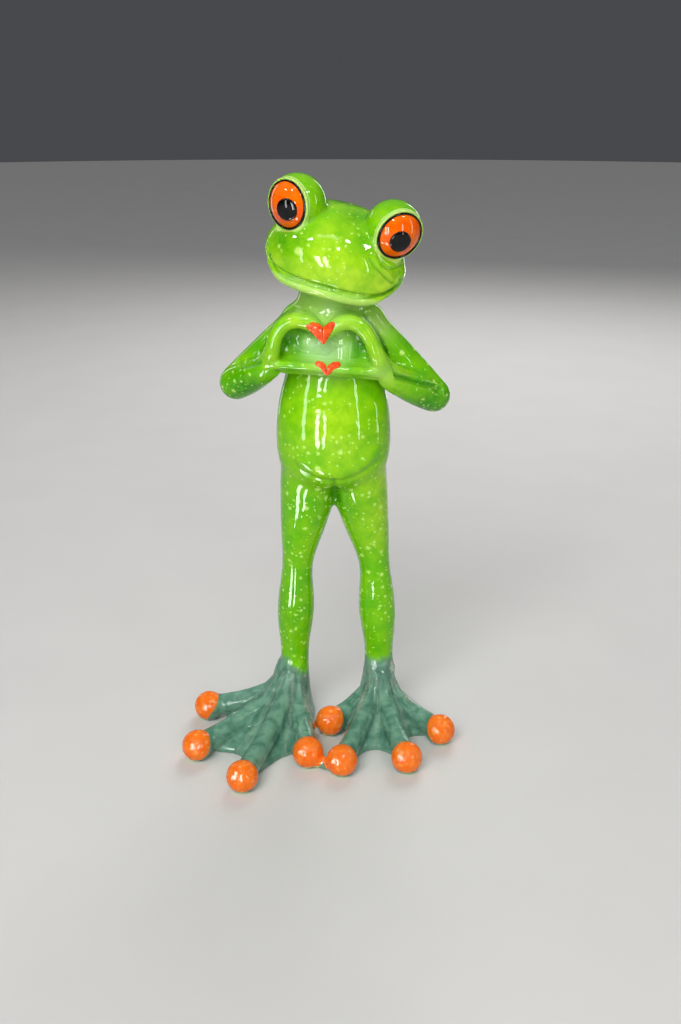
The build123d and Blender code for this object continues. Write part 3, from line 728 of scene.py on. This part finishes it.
# %% Which casting each face belongs to
parts = ["torso", "head"]
for side in sides:
    parts += [f"{side}_{part}" for part in ("leg", "foot", "arm", "hand")]
    parts += [f"{side}_{name}_toe_pad" for name, _, _ in toes[side]]
mesh = skin.piece.data
face_count = len(mesh.polygons)
centres = read(mesh.polygons, "center", face_count, 3)
margin = 1.5 * mm
nearest = np.full(face_count, np.inf)
owner = np.zeros(face_count, np.int32)
inside_boxes = np.zeros(face_count, int)
box_masks = []
for part in parts:
    low, high = (np.array(corner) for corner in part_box(part))
    mask = np.all((centres > low - margin) & (centres < high + margin), axis=1)
    box_masks.append(mask)
    inside_boxes += mask
for number, (part, mask) in enumerate(zip(parts, box_masks)):
    only = mask & (inside_boxes == 1)
    owner[only] = number
    nearest[only] = 0
    tree = BVHTree.FromObject(nodes[part], bpy.context.evaluated_depsgraph_get())
    shared = np.nonzero(mask & (inside_boxes > 1))[0]
    for index in shared.tolist():
        apart = tree.find_nearest(centres[index])[3]
        if apart < nearest[index]:
            nearest[index] = apart
            owner[index] = number
print("faces without an owner:", int(np.isinf(nearest).sum()))

loop_edges = read(mesh.loops, "edge_index", len(mesh.loops), 1, np.int32)
loop_faces = np.repeat(np.arange(face_count), read(mesh.polygons, "loop_total", face_count, 1, np.int32))
order = np.argsort(loop_edges, kind="stable")
pairs = loop_faces[order].reshape(-1, 2)
for _ in range(12):
    votes = np.bincount(np.arange(face_count) * len(parts) + owner, minlength=face_count * len(parts)) * 1.5
    for a, b in ((0, 1), (1, 0)):
        votes += np.bincount(pairs[:, a] * len(parts) + owner[pairs[:, b]], minlength=face_count * len(parts))
    owner = votes.reshape(face_count, len(parts)).argmax(axis=1)

# the borders are relaxed along their own length
border = owner[pairs[:, 0]] != owner[pairs[:, 1]]
border_edges = skin.edges[np.sort(loop_edges)[::2][border]]
degree = np.bincount(border_edges.ravel(), minlength=skin.count)
on_border = degree >= 2
for _ in range(12):
    for row in (x, y, z):
        total = neighbour_total(row, border_edges)
        row[on_border] += 0.5 * (total[on_border] / degree[on_border] - row[on_border])
for name, column in zip(("normal_x", "normal_y", "normal_z"), skin.normals().T):
    store(mesh, name, column)
attribute = mesh.attributes.new("part", "INT", "FACE")
attribute.data.foreach_set("value", owner.astype(np.int32))

# %% Separate and cap each piece
castings = {}


def close_openings(piece):
    """Caps every opening of a parted piece and gives its outside the normals of the whole skin."""
    make_active(piece)
    bpy.ops.object.mode_set(mode="EDIT")
    bpy.ops.mesh.select_mode(type="EDGE")
    bpy.ops.mesh.select_all(action="DESELECT")
    bpy.ops.mesh.select_non_manifold(extend=False, use_wire=False, use_boundary=True, use_multi_face=False,
                                     use_non_contiguous=False, use_verts=False)
    bpy.ops.mesh.fill_holes(sides=0)
    bpy.ops.mesh.quads_convert_to_tris(quad_method="BEAUTY", ngon_method="BEAUTY")
    bpy.ops.mesh.select_all(action="SELECT")
    bpy.ops.mesh.normals_make_consistent(inside=False)
    bpy.ops.object.mode_set(mode="OBJECT")
    shape = piece.data
    count = len(shape.vertices)
    kept = np.stack([read(shape.attributes[name].data, "value", count, 1)
                     for name in ("normal_x", "normal_y", "normal_z")], axis=1)
    corners = read(shape.loops, "vertex_index", len(shape.loops), 1, np.int32)
    totals = read(shape.polygons, "loop_total", len(shape.polygons), 1, np.int32)
    flat_normals = np.repeat(read(shape.polygons, "normal", len(shape.polygons), 3), totals, axis=0)
    outside = np.einsum("ij,ij->i", kept[corners], flat_normals) > 0.25
    shape.normals_split_custom_set(np.where(outside[:, None], kept[corners], flat_normals))
    for name in ("normal_x", "normal_y", "normal_z", "part"):
        shape.attributes.remove(shape.attributes[name])


for number, part in enumerate(parts[1:], 1):
    mesh = skin.piece.data
    labels = read(mesh.attributes["part"].data, "value", len(mesh.polygons), 1, np.int32)
    mesh.polygons.foreach_set("select", labels == number)
    mesh.edges.foreach_set("select", np.zeros(len(mesh.edges), bool))
    mesh.vertices.foreach_set("select", np.zeros(len(mesh.vertices), bool))
    make_active(skin.piece)
    bpy.ops.object.mode_set(mode="EDIT")
    bpy.ops.mesh.select_mode(type="FACE")
    bpy.ops.mesh.separate(type="SELECTED")
    bpy.ops.object.mode_set(mode="OBJECT")
    castings[part] = next(piece for piece in bpy.context.selected_objects if piece != skin.piece)
castings["torso"] = skin.piece
for part, piece in castings.items():
    close_openings(piece)
    piece.name = "cast_" + part
    print(piece.name, len(piece.data.polygons), "faces")

# %% [markdown]
# ## Eyes
#
# Each eye is a flat dome of orange, a fine black line painted round it and a black pupil that stands a
# little proud. All three are turned shapes, so a profile is spun about the gaze.

# %% Eyes
def spin_profile(name, profile, place_in, steps=96):
    """Spins a profile of (radius, height) points about Z into a closed turned piece."""
    deselect()
    bpy.ops.mesh.primitive_circle_add(vertices=3, radius=1)
    piece = bpy.context.object
    piece.name = name
    points = [(radius, 0, height) for radius, height in profile]
    links = [(n, n + 1) for n in range(len(points) - 1)]
    piece.data.clear_geometry()
    piece.data.from_pydata(points, links, [])
    edit_all_of(piece)
    bpy.ops.mesh.spin(steps=steps, angle=2 * math.pi, center=(0, 0, 0), axis=(0, 0, 1))
    bpy.ops.mesh.select_all(action="SELECT")
    bpy.ops.mesh.remove_doubles(threshold=0.0005)
    bpy.ops.mesh.normals_make_consistent(inside=False)
    bpy.ops.object.mode_set(mode="OBJECT")
    piece.data.transform(place_in)
    piece.data.update()
    bpy.ops.object.shade_smooth_by_angle(angle=math.radians(40))
    return piece


iris_radius = disc_radius - 0.5
dome_rise = 2.7
dome_radius = (iris_radius ** 2 + dome_rise ** 2) / (2 * dome_rise)
dome_centre = disc_height + dome_rise - dome_radius
dome_edge = math.asin(iris_radius / dome_radius)
# every turned shape goes down to a seat inside the mound
seat = disc_height - 1.5
# the rim is a low half round over the edge of the iris
rim_middle = iris_radius + 0.26
rim_half = 0.29
rim_rise = 0.2
rim_foot = disc_height + 0.04
pupil_radius = 2.8
pupil_rise = 0.6
# how far each pupil looks inwards and down, in degrees
pupil_turns = {"right": (16.2, 3.5), "left": (7.2, 5.4)}
iris_pieces, rim_pieces, pupil_pieces = {}, {}, {}
for side, sign in sides.items():
    dome = [(dome_radius * math.sin(t), dome_centre + dome_radius * math.cos(t))
            for t in np.linspace(0, dome_edge, 25)]
    iris_pieces[side] = spin_profile(f"iris_{side}", dome + [(iris_radius, seat), (0, seat)], eyes[side])
    inner, outer = rim_middle - rim_half, rim_middle + rim_half
    ring = [(inner, seat), (inner, rim_foot)]
    ring += [(rim_middle - rim_half * math.cos(t), rim_foot + rim_rise * math.sin(t))
             for t in np.linspace(0.2, math.pi, 9)]
    ring += [(outer, seat), (inner, seat)]
    rim_pieces[side] = spin_profile(f"rim_{side}", ring, eyes[side])
    inward, pupil_drop = (math.radians(turn) for turn in pupil_turns[side])
    way = Vector((-sign * math.sin(inward) * math.cos(pupil_drop), -math.sin(pupil_drop),
                  math.cos(inward) * math.cos(pupil_drop)))
    turn_to = way.to_track_quat("Z", "Y").to_matrix().to_4x4()
    pupil_frame = eyes[side] @ Matrix.Translation((0, 0, dome_centre)) @ turn_to
    lens = [(pupil_radius * math.sin(t), dome_radius - 0.15 + pupil_rise * math.cos(t))
            for t in np.linspace(0, math.pi / 2, 12)]
    lens += [(pupil_radius, dome_radius - 1.1), (0, dome_radius - 1.1)]
    pupil_pieces[side] = spin_profile(f"pupil_{side}", lens, pupil_frame)
print("iris radius", round(iris_radius, 2), "mm, dome radius", round(dome_radius, 2), "mm")

# %% [markdown]
# ## The hearts
#
# The fingertips and thumb tips are painted as hearts. Each half is a plump little wedge, widest at the
# lobe, that runs down to the point on the line where the hands meet. Clay again, melted very finely.

# %% Heart halves
# each half is a fan of little rolls from the tip: the outer end of each, and its half thickness there
hearts = {
    "finger_pad": {
        "tip": (-2.5, -18.5, 122.7), "thin": 0.6,
        "right": [((-6.7, -17.9, 127.2), 0.85), ((-5.4, -18.1, 127.0), 1.1), ((-4.1, -18.2, 126.7), 1.15),
                  ((-3.0, -18.3, 126.0), 1.1)],
        "left": [((0.0, -18.0, 127.3), 0.85), ((-0.7, -18.1, 127.0), 1.0), ((-1.5, -18.2, 126.3), 1.05),
                 ((-2.2, -18.3, 125.8), 1.0)],
    },
    "thumb_pad": {
        "tip": (-1.65, -18.3, 114.1), "thin": 0.55,
        "right": [((-3.9, -17.9, 116.8), 0.9), ((-3.1, -18.0, 116.5), 1.0), ((-2.2, -18.1, 115.8), 0.95)],
        "left": [((1.2, -17.9, 116.6), 0.95), ((0.2, -18.0, 116.4), 1.0), ((-0.8, -18.1, 115.7), 0.95)],
    },
}
heart_voxel = 0.12
# the line where the hands meet leans a little
heart_lean = math.radians(4.4)


def roll(start, thin, end, thick):
    """A row of lumps that are a little flat, close enough together to melt into one roll."""
    for share in (0.0, 0.17, 0.33, 0.5, 0.67, 0.83, 1.0):
        ball(Vector(start).lerp(Vector(end), share), thin + (thick - thin) * share, (1, 0.85, 1))


heart_pieces = {}
for name, heart in hearts.items():
    for side, sign in sides.items():
        for end, thick in heart[side]:
            roll(heart["tip"], heart["thin"], end, thick)
        half = melt(f"heart_{side}_{name}", heart_voxel)
        lumps = Skin(half)
        lumps.blend(0.5, 20).write()
        edit_all_of(half)
        bpy.ops.mesh.bisect(plane_co=figure @ Vector(heart["tip"]), use_fill=True, clear_inner=True,
                            plane_no=(sign * math.cos(heart_lean), 0, sign * math.sin(heart_lean)))
        bpy.ops.object.mode_set(mode="OBJECT")
        bpy.ops.object.shade_smooth_by_angle(angle=math.radians(50))
        heart_pieces[f"{side}_{name}"] = half

# %% [markdown]
# ## Materials
#
# The figure is polyresin with acrylic paint under clear gloss lacquer. Paint gives the colour, and the
# lacquer a second, very smooth surface above it, so each paint is a Principled shader with a coat.
# Colours are written as sRGB hex values, and one function turns them to linear.

# %% Material helpers
def paint(code):
    """A hex colour as linear RGBA."""
    channels = [int(code[n:n + 2], 16) / 255 for n in (1, 3, 5)]
    return tuple(c / 12.92 if c <= 0.04045 else ((c + 0.055) / 1.055) ** 2.4 for c in channels) + (1.0,)


def add_node(tree, kind, inputs=(), **settings):
    """Adds a node; inputs maps a socket to a value, or to the output or the node that feeds it."""
    made = tree.nodes.new("ShaderNode" + kind)
    for name, value in settings.items():
        setattr(made, name, value)
    for name, value in dict(inputs).items():
        if isinstance(value, bpy.types.Node):
            value = value.outputs[0]
        if isinstance(value, bpy.types.NodeSocket):
            tree.links.new(value, made.inputs[name])
        else:
            made.inputs[name].default_value = value
    return made


def new_material(name):
    material = bpy.data.materials.new(name)
    material.use_nodes = True
    material.node_tree.nodes.clear()
    return material, material.node_tree


# %% Clouds, and one paint over another
def clouds(tree, size, detail, distortion=0.0):
    """Cloudy noise through the piece, with features about size millimetres wide."""
    place = add_node(tree, "TexCoord").outputs["Object"]
    return add_node(tree, "TexNoise", {"Vector": place, "Scale": 1 / (size * mm), "Detail": detail,
                                       "Distortion": distortion})


def patchy(tree, size, detail, low, high, thin=0.0, thick=1.0, distortion=0.0):
    """A share for patches of paint: thin where the clouds are at low or under it, thick from high upwards."""
    return add_node(tree, "MapRange", {"Value": clouds(tree, size, detail, distortion), "From Min": low,
                                       "From Max": high, "To Min": thin, "To Max": thick},
                    interpolation_type="SMOOTHSTEP")


def cover(tree, below, above, *shares):
    """Paint above over paint below, as far as the shares, multiplied, go."""
    share = shares[0]
    for factor in shares[1:]:
        share = add_node(tree, "Math", {0: share, 1: factor}, operation="MULTIPLY")
    return add_node(tree, "Mix", {0: share, 6: below, 7: above}, data_type="RGBA").outputs[2]


# %% [markdown]
# ### Lacquer
#
# Clear gloss lacquer is brushed or dipped on in a thick coat. It levels itself, so it mirrors sharply, and
# what is left of its flow are slow waves, a few hundredths of a millimetre high. Lacquer has an IOR near
# 1.5, but a room as bright as this one would veil the paint then, so it is matched to the photo at 1.36.

# %% Gloss lacquer
def lacquer(tree, colour, height, wave):
    """Matt paint under clear gloss lacquer, whose surface rises by wave millimetres as height goes to 1."""
    bump = add_node(tree, "Bump", {"Height": height, "Strength": 1.0, "Distance": wave * mm})
    shader = add_node(tree, "BsdfPrincipled", {
        "Base Color": colour, "Roughness": 0.45, "IOR": 1.5, "Specular IOR Level": 0.0, "Coat Weight": 1.0,
        "Coat Roughness": 0.03, "Coat IOR": 1.36, "Normal": bump, "Coat Normal": bump})
    add_node(tree, "OutputMaterial", {"Surface": shader})


# %% [markdown]
# ### Airbrushed skin
#
# One recipe serves the green castings, the teal feet and the orange toes, because the paint runs over
# their seams. Under it all lies a yellow-green that drifts a little. Dark green is misted on, pale speckles
# are flicked over it with a stiff brush, and teal, worn pinkish edges and orange follow their masks.
# Painted shade darkens the creases and the corners under the hands, and painted light and a painted
# bluish reflection lighten the throat and the hollow of the hands.

# %% Speckles flicked on with a brush
# width of the cells in mm, a dot's largest radius as a share of its cell, and how many cells hold one
speckle_cells = [(1.1, 0.5, 0.5), (1.8, 0.46, 0.6), (3.0, 0.36, 0.55), (4.6, 0.3, 0.4)]
speckle_fray = 0.9


def flicked_dots(tree, allowed):
    """Ragged dots, each of its own size, in as many cells as allowed says."""
    place = add_node(tree, "TexCoord").outputs["Object"]
    warp = clouds(tree, 0.5, 2.0).outputs["Color"]
    stray = add_node(tree, "VectorMath", {0: warp, 1: (speckle_fray * mm,) * 3}, operation="MULTIPLY")
    bent = add_node(tree, "VectorMath", {0: place, 1: stray}, operation="ADD")
    dots = 0.0
    for size, reach, chance in speckle_cells:
        cells = add_node(tree, "TexVoronoi", {"Vector": bent, "Scale": 1 / (size * mm)})
        draw = add_node(tree, "SeparateColor", {0: cells.outputs["Color"]}).outputs
        edge = add_node(tree, "Math", {0: draw[1], 1: reach * 0.75, 2: reach * 0.25},
                        operation="MULTIPLY_ADD")
        apart = add_node(tree, "Math", {0: cells.outputs["Distance"], 1: edge}, operation="DIVIDE")
        spot = add_node(tree, "MapRange", {"Value": apart, "From Min": 1.0, "From Max": 0.45},
                        interpolation_type="SMOOTHSTEP")
        limit = add_node(tree, "Math", {0: allowed, 1: chance}, operation="MULTIPLY")
        chosen = add_node(tree, "Math", {0: draw[0], 1: limit}, operation="LESS_THAN")
        spot = add_node(tree, "Math", {0: spot, 1: chosen}, operation="MULTIPLY")
        dots = add_node(tree, "Math", {0: dots, 1: spot}, operation="MAXIMUM")
    return dots


# %% Airbrushed skin
def painted_skin(name):
    """All paint of the castings, each layer over the last, under the lacquer."""
    material, tree = new_material(name)
    mask = {name: add_node(tree, "Attribute", attribute_name=name).outputs["Fac"] for name in masks}

    green = cover(tree, paint("#62bd00"), paint("#80cc00"), patchy(tree, 5.0, 3.0, 0.3, 0.7))
    # yellow-green paint, with painted light on the throat
    green = cover(tree, green, paint("#c3ee2e"), mask["sunny"], patchy(tree, 2.5, 3.0, 0.2, 0.7, 0.45, 0.95))
    # dark green paint, with painted shade between the legs, under the hand arches and in the left arm's fold
    green = cover(tree, green, paint("#339000"), mask["dark"], patchy(tree, 1.1, 4.0, 0.2, 0.75, 0.6, 1.2))
    # pale paint, and painted light on the throat and the left shoulder
    green = cover(tree, green, paint("#c8ee80"), mask["pale"])
    # painted reflection, the bluish white sheen in the hollow of the hands
    green = cover(tree, green, paint("#c2ecae"), mask["milky"])
    not_pale = add_node(tree, "Math", {0: mask["pale"], 1: -0.8, 2: 1.0}, operation="MULTIPLY_ADD")
    # painted shade: darker green in the creases, less where the paint is pale
    green = cover(tree, green, paint("#3f8f08"), mask["hollow"], not_pale, 0.55)
    dots = flicked_dots(tree, mask["speckle"])
    green = cover(tree, green, paint("#d0f676"), dots, 0.75)

    teal = cover(tree, paint("#4a7b66"), paint("#74a088"), patchy(tree, 3.5, 4.0, 0.3, 0.7, distortion=0.6))
    # painted shade: dark teal in the creases between toes and tendons
    teal = cover(tree, teal, paint("#2b4d42"), mask["hollow"], not_pale, 0.4)
    teal = cover(tree, teal, paint("#b9aca2"), mask["worn"], patchy(tree, 0.8, 3.0, 0.35, 0.6))
    colour = cover(tree, green, teal, mask["teal"])

    orange = cover(tree, paint("#fa7014"), paint("#ff8022"), patchy(tree, 2.0, 2.0, 0.35, 0.65))
    colour = cover(tree, colour, orange, mask["orange"])
    colour = cover(tree, colour, paint("#ffb668"), dots, mask["orange"], 0.5)

    # the lacquer's waves are about 2 mm apart, and the feet have wrinkles of 1 mm on them
    wrinkles = add_node(tree, "Math", {0: clouds(tree, 1.1, 2.0), 1: mask["teal"]}, operation="MULTIPLY")
    waves = add_node(tree, "Math", {0: wrinkles, 1: 2.0, 2: clouds(tree, 2.4, 2.0)}, operation="MULTIPLY_ADD")
    lacquer(tree, colour, waves, 0.07)
    return material


# %% [markdown]
# ### Enamel and wire
#
# Hearts, irises, rims and pupils are brushed with enamel in one colour. It varies a little where the brush
# left more of it. The wire inside is drawn steel, whose fine lines blur what it mirrors.

# %% Enamel and wire
def brushed_enamel(name, below, above, size, wave):
    """An enamel that varies in patches of size millimetres, under the same lacquer."""
    material, tree = new_material(name)
    colour = cover(tree, paint(below), paint(above), patchy(tree, size, 3.0, 0.35, 0.65))
    lacquer(tree, colour, clouds(tree, size, 3.0), wave)
    return material


def drawn_steel(name):
    material, tree = new_material(name)
    colour = cover(tree, paint("#9a9c9e"), paint("#c4c6c8"), clouds(tree, 0.3, 2.0))
    shader = add_node(tree, "BsdfPrincipled", {"Base Color": colour, "Metallic": 1.0, "Roughness": 0.35})
    add_node(tree, "OutputMaterial", {"Surface": shader})
    return material


finishes = {
    "green_lacquer": painted_skin("gloss_polyresin_green"),
    "teal_lacquer": painted_skin("gloss_polyresin_teal"),
    "toe_orange": painted_skin("gloss_polyresin_orange"),
    "heart_orange": brushed_enamel("gloss_enamel_heart", "#f04410", "#ff641c", 1.2, 0.05),
    "iris_orange": brushed_enamel("gloss_enamel_iris", "#ff5e00", "#ff7200", 3.0, 0.02),
    "eye_black": brushed_enamel("gloss_enamel_black", "#050507", "#0c0d10", 1.0, 0.01),
    "steel_wire": drawn_steel("drawn_steel_wire"),
}
print("finishes:", ", ".join(finishes))

# %% Every piece takes its finish, its place in the body and the node it stands for
def settle(piece, slot, *stands_for):
    piece.data.materials.clear()
    piece.data.materials.append(finishes[slot])
    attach(piece, "root")
    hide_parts(*stands_for)


def finish_of(part):
    """Teal for the feet, orange for the toe pads and green for every other casting."""
    if part.endswith("foot"):
        return "teal_lacquer"
    return "toe_orange" if part.endswith("toe_pad") else "green_lacquer"


for part, piece in castings.items():
    settle(piece, finish_of(part), part)
for side in sides:
    settle(iris_pieces[side], "iris_orange", f"{side}_eye_iris")
    settle(rim_pieces[side], "eye_black", f"{side}_eye_rim")
    settle(pupil_pieces[side], "eye_black", f"{side}_pupil")
for name, piece in heart_pieces.items():
    settle(piece, "heart_orange", name)
hidden_steel = ["neck_pin"] + [f"{side}_{part}" for side in sides for part in ("leg_wire", "shoulder_pin")]
for node in hidden_steel:
    wire = nodes[node]
    if not wire.material_slots:
        wire.data.materials.append(None)
    for material_slot in wire.material_slots:
        material_slot.material = finishes["steel_wire"]
print("pieces settled:", len(castings) + 3 * len(sides) + len(heart_pieces), "and wires:", len(hidden_steel))

# %% [markdown]
# ## Floor and light
#
# A pale matt floor, a broad soft light from the front left, a weaker one beside the camera and one behind.
# These light the paint and the floor, and don't show in the gloss. It needs something to mirror as well, so
# windows and small lamps show only there: tall narrow windows draw the white streaks on the belly, low cards
# near the floor draw those on the legs, and the small lamps give sparks on head and feet.

# %% Floor
deselect()
bpy.ops.mesh.primitive_circle_add(vertices=128, radius=3.0, fill_type="NGON", location=(0, 0, 0))
floor = bpy.context.object
floor.name = "floor"
floor_material, floor_tree = new_material("matt_pale_board")
floor_colour = cover(floor_tree, paint("#d0cecb"), paint("#d6d4d1"), clouds(floor_tree, 40, 2.0))
floor_shader = add_node(floor_tree, "BsdfPrincipled", {"Base Color": floor_colour, "Roughness": 0.7,
                                                       "Specular IOR Level": 0.0})
add_node(floor_tree, "OutputMaterial", {"Surface": floor_shader})
floor.data.materials.append(floor_material)


# %% Lights
def area_light(name, azimuth, distance, height, wide, tall, brightness, mirrored=True):
    """A light at an azimuth round the figure, seen from the camera: minus is to its left.

    Brightness is that of its face. A mirrored light shows in the gloss and does not light the paint."""
    angle = math.radians(azimuth)
    where = Vector((math.sin(angle) * distance, -math.cos(angle) * distance, height))
    target = Vector((0, 0, min(height, 0.09)))
    bpy.ops.object.light_add(type="AREA", location=where)
    lamp = bpy.context.object
    lamp.name = name
    lamp.rotation_euler = (target - where).to_track_quat("-Z", "Y").to_euler()
    lamp.data.shape = "RECTANGLE"
    lamp.data.size = wide
    lamp.data.size_y = tall
    lamp.data.energy = brightness * math.pi * wide * tall
    lamp.visible_camera = False
    lamp.visible_glossy = mirrored
    lamp.visible_diffuse = not mirrored


# name, azimuth, distance, height, width, tallness and brightness of each
soft_boxes = [
    ("key_softbox", -20, 0.60, 0.60, 0.45, 0.45, 7.2),
    ("front_softbox", 12, 0.90, 0.42, 0.45, 0.40, 3.6),
    ("back_softbox", 165, 0.60, 0.55, 0.45, 0.45, 4.5),
]
windows = [
    ("window_left", -25, 0.40, 0.105, 0.046, 0.21, 30.0),
    ("window_left_twin", -14.5, 0.40, 0.105, 0.030, 0.21, 26.0),
    ("window_side", -50, 0.45, 0.16, 0.040, 0.30, 14.0),
    ("window_right", 42, 0.50, 0.16, 0.035, 0.30, 14.0),
    ("window_far_right", 85, 0.55, 0.20, 0.040, 0.40, 8.0),
    ("window_back_left", -140, 0.50, 0.20, 0.040, 0.40, 4.0),
    ("window_back_right", 155, 0.50, 0.20, 0.050, 0.40, 4.0),
    ("window_above", -10, 0.24, 0.60, 0.24, 0.06, 5.0),
    ("low_card_left", -53, 0.080, 0.027, 0.022, 0.048, 26.0),
    ("low_card_right", -21, 0.068, 0.027, 0.014, 0.048, 26.0),
]
sparks = [(-42, 0.30, 0.50), (8, 0.36, 0.42), (33, 0.30, 0.55), (62, 0.34, 0.44), (-75, 0.34, 0.48)]
for light in soft_boxes:
    area_light(*light, mirrored=False)
for light in windows:
    area_light(*light)
for azimuth, distance, height in sparks:
    area_light(f"spark_{azimuth % 360}", azimuth, distance, height, 0.040, 0.040, 60.0)

# %% Sky, grey at the horizon and pale above
world = bpy.context.scene.world or bpy.data.worlds.new("sky")
bpy.context.scene.world = world
world.use_nodes = True
sky_tree = world.node_tree
sky_tree.nodes.clear()
direction = add_node(sky_tree, "SeparateXYZ", {0: add_node(sky_tree, "TexCoord").outputs["Generated"]})
high = add_node(sky_tree, "MapRange", {"Value": direction.outputs["Z"], "From Min": 0.15, "From Max": 0.9},
                interpolation_type="SMOOTHSTEP")
sky_colour = cover(sky_tree, paint("#76787c"), paint("#f4f6fa"), high)
sky = add_node(sky_tree, "Background", {"Color": sky_colour, "Strength": 0.35})
add_node(sky_tree, "OutputWorld", {"Surface": sky})
